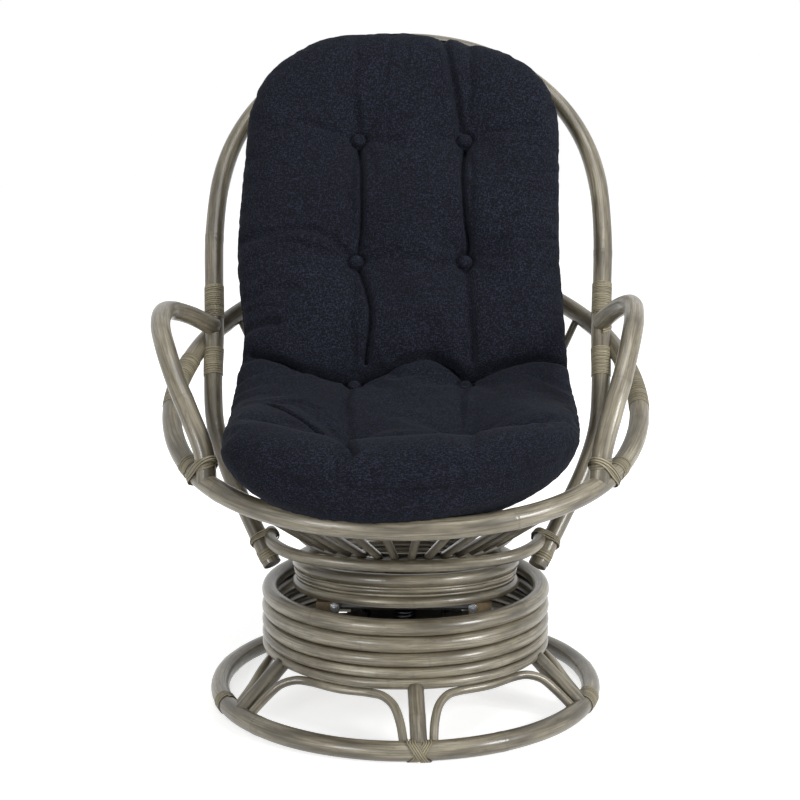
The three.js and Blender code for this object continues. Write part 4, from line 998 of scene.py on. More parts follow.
# %% Steel finishes
def powder_coat():
    material, tree = new_material("black_powder_coated_steel")
    place = add_node(tree, "TexCoord", give="Object")
    peel = add_node(tree, "TexNoise", Vector=place, Scale=repeats(2.38095)[0], Detail=2.0)
    dust = add_node(tree, "TexNoise", Vector=place, Scale=repeats(26.3158)[0], Detail=5.0)
    amount = add_node(tree, "MapRange", Value=dust, From_Min=0.45, From_Max=0.8, To_Max=0.5)
    colour = add_node(tree, "Mix", COLOURS, 2, _0=amount, _6=linear("#17181A"), _7=linear("#3B3A37"))
    rough = add_node(tree, "MapRange", Value=dust, To_Min=0.32, To_Max=0.6)
    bump = add_node(tree, "Bump", Height=peel, Strength=0.25, Distance=0.0004)
    shader = add_node(tree, "BsdfPrincipled", Base_Color=colour, Roughness=rough, Normal=bump)
    add_node(tree, "OutputMaterial", Surface=shader)
    return material


def bright_metal(name, light, dull, smooth, coarse):
    material, tree = new_material(name)
    place = add_node(tree, "TexCoord", give="Object")
    cloud = add_node(tree, "TexNoise", Vector=place, Scale=repeats(11.1111)[0], Detail=4.0)
    colour = add_node(tree, "Mix", COLOURS, 2, _0=cloud, _6=linear(light), _7=linear(dull))
    rough = add_node(tree, "MapRange", Value=cloud, To_Min=smooth, To_Max=coarse)
    fine = add_node(tree, "TexNoise", Vector=place, Scale=repeats(1.42857)[0], Detail=1.0)
    bump = add_node(tree, "Bump", Height=fine, Strength=0.12, Distance=0.0002)
    shader = add_node(tree, "BsdfPrincipled", Base_Color=colour, Roughness=rough, Normal=bump, Metallic=1.0)
    add_node(tree, "OutputMaterial", Surface=shader)
    return material


black_steel = powder_coat()
zinc = bright_metal("zinc_plated_steel", "#C9CCD0", "#9EA2A6", 0.22, 0.42)
spring_steel = bright_metal("oil_blackened_spring_steel", "#5C5E62", "#2E2F31", 0.28, 0.5)
print("finished", black_steel.name, zinc.name, spring_steel.name)

# %% [markdown]
# The board and the two rails are planed light hardwood, stained like the poles and left dull. Their colours
# are drawn darker than that stain, a painted shade for their place in the dark gap under the seat. The eye
# sees straight grain and open pores. A pore is about 0.3 mm wide, too fine to show, so it is drawn 1.5 mm
# wide.

# %% Wood finish
def plain_wood(name, grain_sizes):
    material, tree = new_material(name)
    place = add_node(tree, "TexCoord", give="Object")
    grain = add_node(tree, "Mapping", Vector=place, Scale=repeats(*grain_sizes))
    rings = add_node(tree, "TexNoise", Vector=grain, Scale=0.35, Detail=3.0, Distortion=0.6)
    pores = add_node(tree, "TexNoise", Vector=grain, Scale=3.0, Detail=2.0)
    # The ground colours are darkened, a painted shade for the dark gap under the seat.
    ground = add_node(tree, "ValToRGB", stops=((0.35, "#4C3F2C"), (0.68, "#6C5A3F")), Fac=rings)
    dark = add_node(tree, "MapRange", Value=pores, From_Min=0.55, From_Max=0.75, To_Max=0.5)
    colour = add_node(tree, "Mix", COLOURS, 2, _0=dark, _6=ground, _7=linear("#36291A"))
    rough = add_node(tree, "MapRange", Value=pores, To_Min=0.5, To_Max=0.75)
    bump = add_node(tree, "Bump", Height=pores, Strength=0.3, Distance=0.0005)
    shader = add_node(tree, "BsdfPrincipled", Base_Color=colour, Roughness=rough, Normal=bump)
    add_node(tree, "OutputMaterial", Surface=shader)
    return material


rail_wood = plain_wood("planed_rail_wood", (4.54545, 125, 4.54545))
board_wood = plain_wood("planed_board_wood", (125, 4.54545, 4.54545))
for finish, nodes in (
    (board_wood, ("mechanism_board",)), (rail_wood, ("left_rail", "right_rail")),
    (black_steel, ("swivel_base_plate", "swivel_plate", "rocker_bracket", "rocker_top_plate")),
    (zinc, ("bearing_race", "rock_axle")),
):
    for node in nodes:
        mesh = frame["nodes"][node].data
        if not len(mesh.materials):
            mesh.materials.append(finish)
        for i in range(len(mesh.materials)):
            mesh.materials[i] = finish
        print(node, "has", finish.name)

# %% [markdown]
# The plates are held by hexagon bolts with washers. A bolt head is a six-sided cone with its edges eased,
# on a thin disc. Both come from the same bmesh operator with a different number of sides. Each group of
# bolts is one piece and moves with the plate that it clamps.

# %% Bolts
WASHER = 1.2
SHANK_REACH = 2
BOLT_EASE = 0.35
ROUND, HEXAGON, SHANK_SIDES = 28, 6, 16


def add_bolt(bm, place, down, head, height):
    """A hexagon head on a washer, standing on place, with its shank along down."""
    turn = Vector((0, 0, -1)).rotation_difference(Vector(down)).to_matrix().to_4x4()
    where = Matrix.Translation(Vector(np.array(place, float) * MM + axis_place)) @ turn
    for sides, radius, low, high in (
        (ROUND, head * 1.35, 0.0, WASHER), (HEXAGON, head, WASHER, WASHER + height),
        (SHANK_SIDES, head * 0.42, WASHER, WASHER + SHANK_REACH + height),
    ):
        made = bmesh.ops.create_cone(
            bm, cap_ends=True, segments=sides, radius1=radius * MM, radius2=radius * MM,
            depth=(high - low) * MM, matrix=where @ Matrix.Translation((0, 0, (low + high) / 2 * MM)),
        )
        edges = list({e for v in made["verts"] for e in v.link_edges})
        caps = [e for e in edges if any(len(f.verts) > 4 for f in e.link_faces)]
        bmesh.ops.bevel(
            bm, geom=caps, offset=BOLT_EASE * MM, offset_type="OFFSET", segments=2, profile=0.5,
            affect="EDGES", material=-1,
        )


def bolts(name, body, places, head, height):
    bm = bmesh.new()
    for place, down in places:
        add_bolt(bm, place, down, head, height)
    finish_piece(name, bm, zinc, body)
    print(name, len(places), "bolts")


print("a head stands on a washer of", WASHER, "mm")

# %% [markdown]
# Four bolts hold the base plate to the board and four the bracket to the turning plate. The rails hang
# under the leaning stack, so the directions of their bolts lean with it.

# %% Setting the bolts
PLATE_TOP = 97 + 3.5
BRACKET_TOP = 114.6
RAIL_BOLT_HEIGHT = 12.8
RAIL_END = (104, -131.2, 25)


def leaned_way(way):
    """A direction in the leaned seat."""
    return Vector(leaned(np.array(way, float)) - leaned(np.zeros(3)))


level_down = (0, 0, -1)
corners = [(x, y, PLATE_TOP) for x in (-76, 76) for y in (-76, 76)]
bolts("base_plate_bolts", "base", [(corner, level_down) for corner in corners], 5.6, 3.0)
corners = [(x, y, BRACKET_TOP) for x in (-38, 38) for y in (-68, 68)]
bolts("bracket_bolts", "swivel", [(corner, level_down) for corner in corners], 5.2, 4.0)
corners = [leaned(np.array([x, y, RAIL_BOLT_HEIGHT], float)) for x in (-115, 115) for y in (-70, 70)]
bolts("rail_bolts", "seat", [(corner, leaned_way((0, 0, 1))) for corner in corners], 5.6, 4.0)
ends = [leaned(np.array(RAIL_END) * (side, 1, 1)) for side in (1, -1)]
bolts("rail_end_bolts", "seat", [(end, leaned_way((0, 1, 0))) for end in ends], 5.0, 3.0)

# %% [markdown]
# The two springs are coils of round wire that return the seat to rest. The end turns lie closer together,
# as on a real spring with closed ends.

# %% Springs
SPRING_TURNS, WIRE_RADIUS, COIL_RADIUS, SPRING_REACH = 5.5, 1.9, 15, 62
SPRING_FOOT = 114.7

for name, side, high, closed in (("front", -1, 154.2, 1), ("rear", 1, 143.6, 0.35)):
    t = np.linspace(0, 1, 480)
    eased = t - 0.1 * np.sin(2 * math.pi * t) / 1.6 * closed
    angle = 2 * math.pi * SPRING_TURNS * t
    coil_height = SPRING_FOOT + WIRE_RADIUS + (high - SPRING_FOOT - 2 * WIRE_RADIUS) * eased
    across, back = COIL_RADIUS * np.sin(angle), side * SPRING_REACH - COIL_RADIUS * np.cos(angle)
    coil = Route(np.stack([across, back, coil_height], axis=-1))
    bm = bmesh.new()
    roll_pole(bm, coil, constant(WIRE_RADIUS), 201, sides=10, spacing=2.4, joint_gap=9000, ease=0.3)
    spring = finish_piece(f"{name}_coil", bm, spring_steel, "swivel")
    spring.parent = None
    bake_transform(spring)
    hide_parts(f"{name}_spring")
    print(name, "spring", round(high - SPRING_FOOT, 1), "mm high")

# %% [markdown]
# The pad is one long cushion of polyester fill in a heathered linen weave. The cloth is made of dark navy
# and slate threads about 0.8 mm thick, with thicker slubs here and there. That is too fine to show, so the
# threads are drawn 1.6 mm wide. The weave reads an attribute that holds each point's place across, along
# and through the pad, so it follows the bends, and it needs no UV map, which the remeshing below would
# lose.

# %% Heathered linen
THREAD, THREAD_LENGTH = 1.5625, 4.34783


def heathered_navy_linen():
    material, tree = new_material("heathered_navy_linen")
    weave = add_node(tree, "Attribute", {"attribute_name": "weave"}, "Vector")
    seam = add_node(tree, "Attribute", {"attribute_name": "seam"}, "Fac")
    warp_space = add_node(tree, "Mapping", Vector=weave, Scale=repeats(THREAD, THREAD_LENGTH, THREAD))
    weft_space = add_node(tree, "Mapping", Vector=weave, Scale=repeats(THREAD_LENGTH, THREAD, THREAD))
    warp = add_node(tree, "TexNoise", Vector=warp_space, Scale=1.0, Detail=2.0)
    weft = add_node(tree, "TexNoise", Vector=weft_space, Scale=1.0, Detail=2.0)
    both = add_node(tree, "Math", {"operation": "ADD"}, _0=warp, _1=weft)
    half = add_node(tree, "Math", {"operation": "MULTIPLY"}, _0=both, _1=0.5)
    blues = ((0.4, "#04050B"), (0.61, "#282C3A"), (0.5, "#0F1119"))
    threads = add_node(tree, "ValToRGB", stops=blues, Fac=half)
    slub_space = add_node(tree, "Mapping", Vector=weave, Scale=repeats(11.1111, 1.78571, 1.78571))
    slub = add_node(tree, "TexNoise", Vector=slub_space, Scale=1.0, Detail=1.0)
    bright = add_node(tree, "MapRange", Value=slub, From_Min=0.62, From_Max=0.78, To_Max=0.25)
    slubbed = add_node(tree, "Mix", COLOURS, 2, _0=bright, _6=threads, _7=linear("#2A3042"))
    cloudy = add_node(tree, "TexNoise", Vector=weave, Scale=repeats(111.111)[0], Detail=2.0)
    shade = add_node(tree, "MapRange", Value=cloudy, From_Min=0.3, From_Max=0.7, To_Max=0.35)
    worn = add_node(tree, "Mix", COLOURS, 2, _0=shade, _6=slubbed, _7=linear("#080A11"))
    stitched = add_node(tree, "Mix", COLOURS, 2, _0=seam, _6=worn, _7=linear("#07080B"))
    rough = add_node(tree, "MapRange", Value=both, To_Min=0.86, To_Max=0.98)
    bump = add_node(tree, "Bump", Height=both, Strength=0.35, Distance=0.0008)
    shader = add_node(
        tree, "BsdfPrincipled", Base_Color=stitched, Roughness=rough, Normal=bump, Specular_IOR_Level=0.18,
        Sheen_Weight=0.03, Sheen_Roughness=0.5, Sheen_Tint=linear("#5A6478"),
    )
    add_node(tree, "OutputMaterial", Surface=shader)
    return material


linen = heathered_navy_linen()
print("material", linen.name)

# %% [markdown]
# The pad's shape is told by its middle layer. That is a line from the front edge of the seat, back through
# the bend and up to the top, with a table each for the width to the left and right, the thickness and how
# far the sides ride up. A second set of places says where the tufts are and how the fold between seat and
# back runs.

# %% Middle layer of the pad
PAD_LINE = (
    (-1, 1), (-0.75, 0.99), (-0.5, 1), (-0.26, 1.045), (-0.02, 1.131), (0.1, 1.202),
    (0.19, 1.309), (0.31, 1.512), (0.46, 1.755), (0.62, 2.009), (0.78, 2.263), (0.955, 2.532),
)
PAD_REACH, PAD_HEIGHT = 350, 408
PAD_HALF_WIDTH = 270
PAD_LEFT = ((0, 0.93), (0.2, 0.955), (0.36, 0.975), (0.47, 0.955), (0.6, 1.01), (0.8, 0.985), (1, 0.98))
PAD_RIGHT = ((0, 0.89), (0.2, 0.95), (0.3, 0.96), (0.45, 0.935), (0.6, 0.905), (0.8, 0.915), (1, 0.91))
PAD_THICKNESS = (
    (0, 1.16), (0.12, 1.16), (0.22, 0.95), (0.3, 0.86), (0.4, 0.82), (0.52, 0.9), (0.75, 0.92), (1, 0.86),
)
PAD_HALF_THICKNESS = 58
PAD_CROWN = ((0, 1), (0.18, 1), (0.36, 0.5), (0.55, 0.3), (1, 0.3))
CROWN_LIFT, CROWN_HALF_WIDTH = 46, 262
TUFT_ROWS = (0.15, 0.375, 0.585, 0.793)
TUFT_COLUMNS = (-80, 93)
FOLD = (
    (-0.83, 0.422), (-0.6, 0.389), (-0.24, 0.389), (0.09, 0.426), (0.2, 0.422), (0.35, 0.389), (0.63, 0.411),
    (0.88, 0.416),
)

pad_line = Route(spline([(0, back * PAD_REACH, up * PAD_HEIGHT) for back, up in PAD_LINE], 60))
pad_up = np.cross((1.0, 0, 0), pad_line.tangent)


def pad_layer(share):
    """Place and upward direction on the middle layer."""
    s = np.clip(share, 0, 1) * pad_line.length
    place, tangent, _, _ = pad_line.along(s)
    return place, unit(np.cross((1.0, 0, 0), tangent))


print("the pad is", round(pad_line.length), "mm long")

# %% [markdown]
# The tufts, the channels between them, the fold of the seat and the valley behind the front roll pull the
# pad's top down. Each is a soft dip, and their depths are added up.

# %% Dips in the top of the pad
ROLL_VALLEY = (112, 24, 17)  # how far behind the front edge, how wide and how deep, in millimetres
FOLD_DEPTH, FOLD_WIDTH = 14, 16
TUFT_DEPTH, TUFT_WIDTH = 28, 56
CHANNEL_DEPTH, CHANNEL_WIDTH = 8, 22


def pad_dip(x, s):
    """How deep the top is pulled down, for places across and along the pad."""
    fold = between(FOLD, x / PAD_HALF_WIDTH) * pad_line.length
    dip = FOLD_DEPTH * np.exp(-(((s - fold) / FOLD_WIDTH) ** 2))
    behind, wide, deep = ROLL_VALLEY
    bend = behind + 30 * (x / PAD_HALF_WIDTH) ** 2
    dip += deep * np.exp(-(((s - bend) / wide) ** 2)) * (1 - np.minimum(np.abs(x) / 235, 1) ** 6)
    for column in TUFT_COLUMNS:
        gaps = [(x - column) ** 2 + (s - row * pad_line.length) ** 2 for row in TUFT_ROWS]
        tuft = np.minimum(sum(np.exp(-gap / TUFT_WIDTH**2) for gap in gaps), 1)
        dip += TUFT_DEPTH * tuft + CHANNEL_DEPTH * np.exp(-(((x - column) / CHANNEL_WIDTH) ** 2)) * (1 - tuft)
    return dip


print("a tuft is", round(float(pad_dip(np.array(-80.0), np.array(0.585 * pad_line.length)))), "mm deep")

# %% [markdown]
# A grid is rolled round the middle layer. Its front edge is rounded at the corners, its top edge more so,
# and its front roll hangs over the rim. This is the slightly lean, unfilled shape that the fill will swell
# up, so every side of it starts a little inside the finished one.

# %% The unfilled pad
PAD_START_SHRINK = 8
PAD_ROUND, PAD_ROWS = 72, 150
FRONT_CORNER_LEFT, FRONT_CORNER_RIGHT, TOP_CORNER = 80, 125, 180
END_ROUNDING = 0.07
NOSE_REACH, NOSE_OUT = 75, 11


def pad_shell(angle, row, shrink):
    c, h = np.cos(angle), np.sin(angle)
    out_share = np.sign(c) * np.abs(c) ** 0.8
    up_share = np.sign(h) * np.abs(h) ** 0.7
    left = out_share < 0
    fall = 1 - np.sqrt(np.clip(1 - out_share**2, 0, 1))
    top_fall = 1 - np.clip(1 - np.abs(out_share) ** 2.4, 0, 1) ** (1 / 2.4)
    start = (fall * np.where(left, FRONT_CORNER_LEFT, FRONT_CORNER_RIGHT) + shrink) / pad_line.length
    uneven = 5 + 7 * np.sin(out_share * math.pi)
    end = 1 - (top_fall * TOP_CORNER + uneven + shrink) / pad_line.length
    share = start + (end - start) * row
    place, up = pad_layer(share)
    reach = PAD_HALF_WIDTH * np.where(left, between(PAD_LEFT, share), between(PAD_RIGHT, share))
    out = out_share * (reach - shrink)
    front = np.sqrt(np.clip(1 - (1 - np.minimum(row / END_ROUNDING, 1)) ** 2, 0, 1)) ** 0.8
    top = np.sqrt(np.clip(1 - (1 - np.minimum((1 - row) / END_ROUNDING, 1)) ** 2, 0, 1))
    swell = np.minimum(0.15 + 0.85 * front, 0.12 + 0.88 * top)
    half = (PAD_HALF_THICKNESS * between(PAD_THICKNESS, row) - shrink) * swell
    s = share * pad_line.length
    dip = pad_dip(out, s) * np.clip(3 * up_share, 0, 1)
    lift = up_share * half + CROWN_LIFT * between(PAD_CROWN, share) * out_share**2 - dip
    places = place + up * lift[:, None]
    places[:, 0] += out
    nose = np.exp(-((s / NOSE_REACH) ** 2))
    places[:, 1] -= NOSE_OUT * nose
    sag = 4 * np.exp(-(((out + 45) / 60) ** 2)) - 4 * np.exp(-(((out - 90) / 45) ** 2))
    places[:, 2] += nose * (0.07 * np.clip(out + 20, -190, 170) + 3 - sag)
    return places, np.stack([out, s, lift], axis=-1), np.zeros_like(angle)


bm = bmesh.new()
tube(bm, PAD_ROUND, np.linspace(0, 1, PAD_ROWS), lambda a, r: pad_shell(a, r, PAD_START_SHRINK))
bmesh.ops.recalc_face_normals(bm, faces=bm.faces)
pad = new_object("seat_pad", bm)
print("pad before filling:", len(pad.data.polygons), "faces")

# %% [markdown]
# Everything that follows asks where a point lies in the pad: how far across, how far along its line, and
# how high over its middle layer. One function answers that, from the nearest place on the line. Two more
# read and write all points of a mesh at once, which is far quicker than one by one.

# %% Coordinates in the pad
def pad_coordinates(places):
    """Across, along and through the pad, in millimetres, for places in millimetres from the axis."""
    line = pad_line.places[:, 1:]
    parts = np.array_split(places, max(len(places) // 20000 + 1, 1) * 8)
    nearest = np.concatenate([
        np.argmin(((part[:, None, 1:] - line[None]) ** 2).sum(axis=2), axis=1) for part in parts
    ])
    delta = places - pad_line.places[nearest]
    s = pad_line.reach[nearest] + np.sum(delta * pad_line.tangent[nearest], axis=1)
    return np.stack([places[:, 0], s, np.sum(delta * pad_up[nearest], axis=1)], axis=-1)


def crown_height(coords):
    """How far the crown lifts the middle layer there."""
    share = between(PAD_CROWN, coords[:, 1] / pad_line.length)
    return CROWN_LIFT * share * (coords[:, 0] / CROWN_HALF_WIDTH) ** 2


def read_points(mesh, name):
    flat = np.empty(len(mesh.vertices) * 3, np.float32)
    mesh.vertices.foreach_get(name, flat)
    return flat.reshape(-1, 3).astype(float)


def write_places(mesh, places):
    mesh.vertices.foreach_set("co", (places * MM + axis_place).astype(np.float32).ravel())
    mesh.update()


def apply_modifiers(piece):
    view = bpy.context.evaluated_depsgraph_get()
    done = bpy.data.meshes.new_from_object(piece.evaluated_get(view))
    piece.modifiers.clear()
    old, piece.data = piece.data, done
    bpy.data.meshes.remove(old)
    done.name = piece.name


print("the crown lifts the pad's edge by up to", CROWN_LIFT, "mm")

# %% [markdown]
# Filling the pad is left to Blender's cloth. The shape is remeshed into even 6 mm squares first. Then every
# point is told how firmly it is held: fully at the tufts, partly along the fold, and a little on the
# underside, which lies on the basket.

# %% What holds the pad
VOXEL = 6.0
TUFT_HOLD = 12
remesh = pad.modifiers.new("remesh", "REMESH")
remesh.mode, remesh.voxel_size = "VOXEL", VOXEL * MM
apply_modifiers(pad)
before = (read_points(pad.data, "co") - axis_place) / MM
coords = pad_coordinates(before)
top_side = coords[:, 2] > crown_height(coords)
hold = np.zeros(len(before))
for column in TUFT_COLUMNS:
    for row in TUFT_ROWS:
        gap = np.hypot(coords[:, 0] - column, coords[:, 1] - row * pad_line.length)
        hold = np.maximum(hold, np.exp(-((gap / TUFT_HOLD) ** 4)) * top_side)
fold_gap = np.abs(coords[:, 1] - between(FOLD, coords[:, 0] / PAD_HALF_WIDTH) * pad_line.length)
hold = np.maximum(hold, 0.6 * np.exp(-((fold_gap / 6) ** 2)) * top_side)
hold = np.maximum(hold, 0.35 * ~top_side)
print(int((hold > 0.5).sum()), "of", len(hold), "points are held")

# %% [markdown]
# The cloth is made a little larger than the pad, as a loose cover is, and a steady pressure blows it up
# while the tufts stay pinned. That gives the pull lines and puckers round each button, which are hard to
# draw by hand.

# %% Fill the pad
FILL_STEPS = 20
FILL = {
    "quality": 4, "mass": 0.25, "tension_stiffness": 14, "compression_stiffness": 8, "shear_stiffness": 4,
    "bending_stiffness": 0.35, "shrink_min": -0.05, "use_pressure": True, "uniform_pressure_force": 4.0,
    "vertex_group_mass": "held", "pin_stiffness": 1.0,
}
pins = pad.vertex_groups.new(name="held")
for level in np.linspace(0.05, 1, 20):
    chosen = np.nonzero(np.abs(hold - level) <= 0.025)[0]
    if len(chosen):
        pins.add([int(i) for i in chosen], float(level), "REPLACE")
cloth = pad.modifiers.new("fill", "CLOTH")
for key, value in FILL.items():
    setattr(cloth.settings, key, value)
cloth.settings.effector_weights.gravity = 0
for step in range(1, FILL_STEPS + 1):
    bpy.context.scene.frame_set(step)
apply_modifiers(pad)
bpy.context.scene.frame_set(1)
move = (read_points(pad.data, "co") - axis_place) / MM - before
print("the fill moved", len(move), "points by", round(float(np.linalg.norm(move, axis=1).mean()), 1), "mm")

# %% [markdown]
# The pressure also swells the pad as a whole, by an amount that depends on its stiffness. That even part is
# taken out by smoothing and replaced by the known thickness, and only the wrinkles are kept, with a cap.

# %% Keep the wrinkles
WRINKLE_CAP = 22
WRINKLE_SHARE = 0.75
edges = np.empty(len(pad.data.edges) * 2, np.int32)
pad.data.edges.foreach_get("vertices", edges)
ends = edges.reshape(-1, 2).T
neighbours = np.bincount(ends.ravel(), minlength=len(before))[:, None]


def smoothed(field, rounds):
    """Each value is drawn half way to the mean of its neighbours, again and again."""
    for _ in range(rounds):
        near = [np.bincount(ends.ravel(), field[ends[::-1].ravel(), i], len(field)) for i in range(3)]
        field = (field + np.stack(near, axis=-1) / neighbours) / 2
    return field


wrinkles = move - smoothed(move, 60)
size = np.linalg.norm(wrinkles, axis=1, keepdims=True)
wrinkles *= np.minimum(1, WRINKLE_CAP / np.maximum(size, 1e-6))
write_places(pad.data, before)
outward = smoothed(read_points(pad.data, "normal"), 8)
write_places(pad.data, before + PAD_START_SHRINK * outward + WRINKLE_SHARE * wrinkles)
print("wrinkles up to", round(float(size.max()), 1), "mm")

# %% [markdown]
# A used pad also has folds that no fill explains: creases between the buttons, the deep fold where the seat
# turns into the back, tucks at the sides and the front. They are carved after the simulation. Each is a
# line in pad coordinates with a depth and a width, and beside it the cloth swells a little, as pushed cloth
# does.

# %% Where the creases run
CREASES = (  # points across and along the pad, depth, width
    (((-81, 809), (-74, 758), (-72, 703), (-73, 645), (-79, 600)), 15, 4.6),
    (((95, 809), (90, 760), (92, 670), (99, 625), (94, 600)), 18, 4.8),
    (((-79, 598), (-63, 549), (-55, 508), (-57, 464), (-62, 425)), 15, 4.8),
    (((93, 598), (94, 545), (100, 494), (104, 440), (96, 400)), 6, 7),
    (((58, 1005), (66, 950), (76, 892), (86, 830)), 11, 7),
    (((-30, 1005), (-34, 950), (-40, 905)), 5, 7),
    (((0, 1005), (-3, 950), (-8, 925)), 4, 6),
    (((-110, 985), (-100, 930), (-90, 880), (-83, 830)), 4, 9),
    (((-262, 628), (-236, 636), (-201, 641), (-162, 645), (-130, 637), (-106, 619), (-86, 604)), 6, 8),
    (((-258, 528), (-217, 544), (-175, 547)), 5, 8),
    (((-262, 474), (-235, 487), (-205, 490)), 10, 9),
    (((-240, 440), (-191, 419), (-160, 402), (-125, 395), (-86, 392), (-63, 396)), 13, 6),
    (((-66, 398), (-32, 408), (-6, 424), (25, 436), (53, 432), (80, 412), (95, 398)), 13, 6),
    (((95, 398), (131, 413), (169, 421), (208, 430), (248, 424)), 12, 6),
    (((-193, 231), (-154, 257), (-128, 240)), 4, 6),
    (((-200, 222), (-172, 196), (-142, 168), (-104, 136)), 14, 6),
    (((-92, 128), (-84, 90), (-70, 50), (-62, 18)), 12, 5),
    (((44, 160), (43, 125), (40, 95)), 4, 6),
    (((196, 90), (176, 62)), 4, 5),
    (((-95, 20), (-90, 8)), 5, 5),
    (((248, 870), (228, 862)), 5, 6),
    (((252, 640), (225, 636)), 6, 6),
)
print(len(CREASES), "creases, the deepest", max(depth for _, depth, _ in CREASES), "mm")

# %% [markdown]
# One round of subdivision makes the mesh fine enough for a narrow crease. Round each button the creases
# fade out, so that its own shallow ring shows. Only the top of the pad is carved.

# %% Creases
subdivide = pad.modifiers.new("finer", "SUBSURF")
subdivide.levels = subdivide.render_levels = 1
apply_modifiers(pad)
places = (read_points(pad.data, "co") - axis_place) / MM
coords = pad_coordinates(places)


def gap_to_line(points, line):
    best = np.full(len(points), 1e9)
    for a, b in zip(line[:-1], line[1:]):
        t = np.clip(((points - a) @ (b - a)) / ((b - a) @ (b - a)), 0, 1)
        best = np.minimum(best, np.linalg.norm(points - a - t[:, None] * (b - a), axis=1))
    return best


_, pad_upward = pad_layer(coords[:, 1] / pad_line.length)
upper = np.clip((coords[:, 2] - crown_height(coords) + 4) / 14, 0, 1)
drop = np.zeros(len(places))
for line, depth, width in CREASES:
    smooth_line = spline([(x, s, 0) for x, s in line], 14)[:, :2] if len(line) > 2 else np.array(line, float)
    gap = gap_to_line(coords[:, :2], smooth_line)
    drop = np.maximum(drop, depth * np.exp(-((gap / width) ** 2)))
    drop -= 0.22 * depth * np.exp(-(((gap - 2.4 * width) / (1.4 * width)) ** 2))
for column in TUFT_COLUMNS:
    for row in TUFT_ROWS[1:]:
        gap = np.hypot(coords[:, 0] - column, coords[:, 1] - row * pad_line.length)
        drop = drop * (1 - np.exp(-((gap / 15) ** 4))) + 5 * np.exp(-(((gap - 13) / 3.5) ** 2))
places -= pad_upward * (drop * upper)[:, None]
print("carved up to", round(float(drop.max()), 1), "mm deep")

# %% [markdown]
# Where the pad lies against the rim, the hoop and the spindles, the poles press into it. Every point that
# would be inside a pole is moved out to just over its surface. That leaves a soft dent that is clear of the
# pole. The front rim comes first, in its own way: the pad lies on it, so its points are lifted and not
# pushed aside.

# %% Press the pad against the poles
def push_clear(places, route, radius, clearance=1.0):
    line, _, _, _ = route.along(np.linspace(0, route.length, max(int(route.length / 4), 8)))
    low, high = line.min(axis=0) - radius - 5, line.max(axis=0) + radius + 5
    near = np.nonzero(np.all((places > low) & (places < high), axis=1))[0]
    moved = 0
    for part in np.array_split(near, max(len(near) // 4000, 1)):
        if len(part) == 0:
            continue
        gaps = np.linalg.norm(places[part][:, None] - line[None], axis=2)
        closest = gaps.argmin(axis=1)
        away = places[part] - line[closest]
        distance = np.linalg.norm(away, axis=1)
        inside = distance < radius + clearance
        out = away[inside] / distance[inside, None]
        places[part[inside]] = line[closest[inside]] + out * (radius + clearance)
        moved += int(inside.sum())
    return moved


def lay_on(places, route, radius):
    """Lifts what would be inside a level pole, or under its outer half, onto the pole."""
    line, _, outward, _ = route.along(np.linspace(0, route.length, int(route.length / 4)))
    near = np.nonzero((places[:, 1] < -230) & (places[:, 2] < 380))[0]
    closest = np.concatenate([
        np.linalg.norm(places[part][:, None, :2] - line[None, :, :2], axis=2).argmin(axis=1)
        for part in np.array_split(near, max(len(near) // 4000, 1))
    ])
    aside = np.sum((places[near, :2] - line[closest, :2]) * unit(outward[closest, :2]), axis=1)
    top = np.sqrt(np.clip(radius**2 - aside**2, 0, None))
    least = line[closest, 2] + top + np.where(aside > radius, 2.0, 0.0)
    low = (aside > -radius) & (places[near, 2] < least)
    places[near[low], 2] = least[low]
    return int(low.sum())


PRESSED_RADIUS = MAIN_RADIUS + 0.6
moved = lay_on(places, front_rim, MAIN_RADIUS + 1.6)
for route in (front_rim, rear_rim, hoop, arms["left"], arms["right"]):
    moved += push_clear(places, route, PRESSED_RADIUS)
moved += push_clear(places, lower_hoop, 9.8) + push_clear(places, basket_ring, 8.4)
for route in back_routes.values():
    moved += push_clear(places, route, BACK_SPINDLE_RADIUS + 0.6)
print("points pressed back by the poles:", moved)

# %% [markdown]
# The cover is sewn from a top and a bottom panel, so one seam runs right round the pad's edge. It is drawn
# where the surface crosses the middle layer: the cloth is drawn in by a millimetre and the stitched line is
# darker.

# %% Seam and weave coordinates
coords = pad_coordinates(places)
seam = np.exp(-(((coords[:, 2] - crown_height(coords) - 5) / 1.8) ** 2))
write_places(pad.data, places)
places -= read_points(pad.data, "normal") * (1.2 * seam)[:, None]
write_places(pad.data, places)
for name in ("grain", "knuckle"):
    if name in pad.data.attributes:
        pad.data.attributes.remove(pad.data.attributes[name])
weave = pad.data.attributes.new("weave", "FLOAT_VECTOR", "POINT")
weave.data.foreach_set("vector", (coords * MM).astype(np.float32).ravel())
seam_strength = pad.data.attributes.new("seam", "FLOAT", "POINT")
seam_strength.data.foreach_set("value", (0.45 * seam).astype(np.float32))
for polygon in pad.data.polygons:
    polygon.use_smooth = True
pad.data.materials.clear()
pad.data.materials.append(linen)
pad.vertex_groups.clear()
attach(pad, "seat")
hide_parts("cushion")
print("pad:", len(pad.data.polygons), "faces")

# %% [markdown]
# Six buttons are covered in the same cloth and pull the tufts down. A button is a half profile that is spun
# round: a full spin needs its doubles merged, so that the pole at its top is closed. Each is set on the
# finished pad by a ray from above. The four on the back stand a little proud, and the two in the fold of
# the seat sit deep in it, so that the right one nearly hides.

# %% Buttons
BUTTON_PROFILE = ((0, -6), (9, -6), (10.4, -2), (10.4, 0.4), (9.3, 2.2), (6.8, 3.6), (3.6, 4.4), (0, 4.6))
BUTTON_ROWS = (("lower", TUFT_ROWS[1]), ("middle", TUFT_ROWS[2]), ("upper", TUFT_ROWS[3]))
PROUD = 3.4
PROUD_IN_FOLD = {"lower_left_button": 0.6, "lower_right_button": -2.4}
LEFT_TO_THE_SCENE = "lower_right_button"
pad_tree = BVHTree.FromObject(pad, bpy.context.evaluated_depsgraph_get())


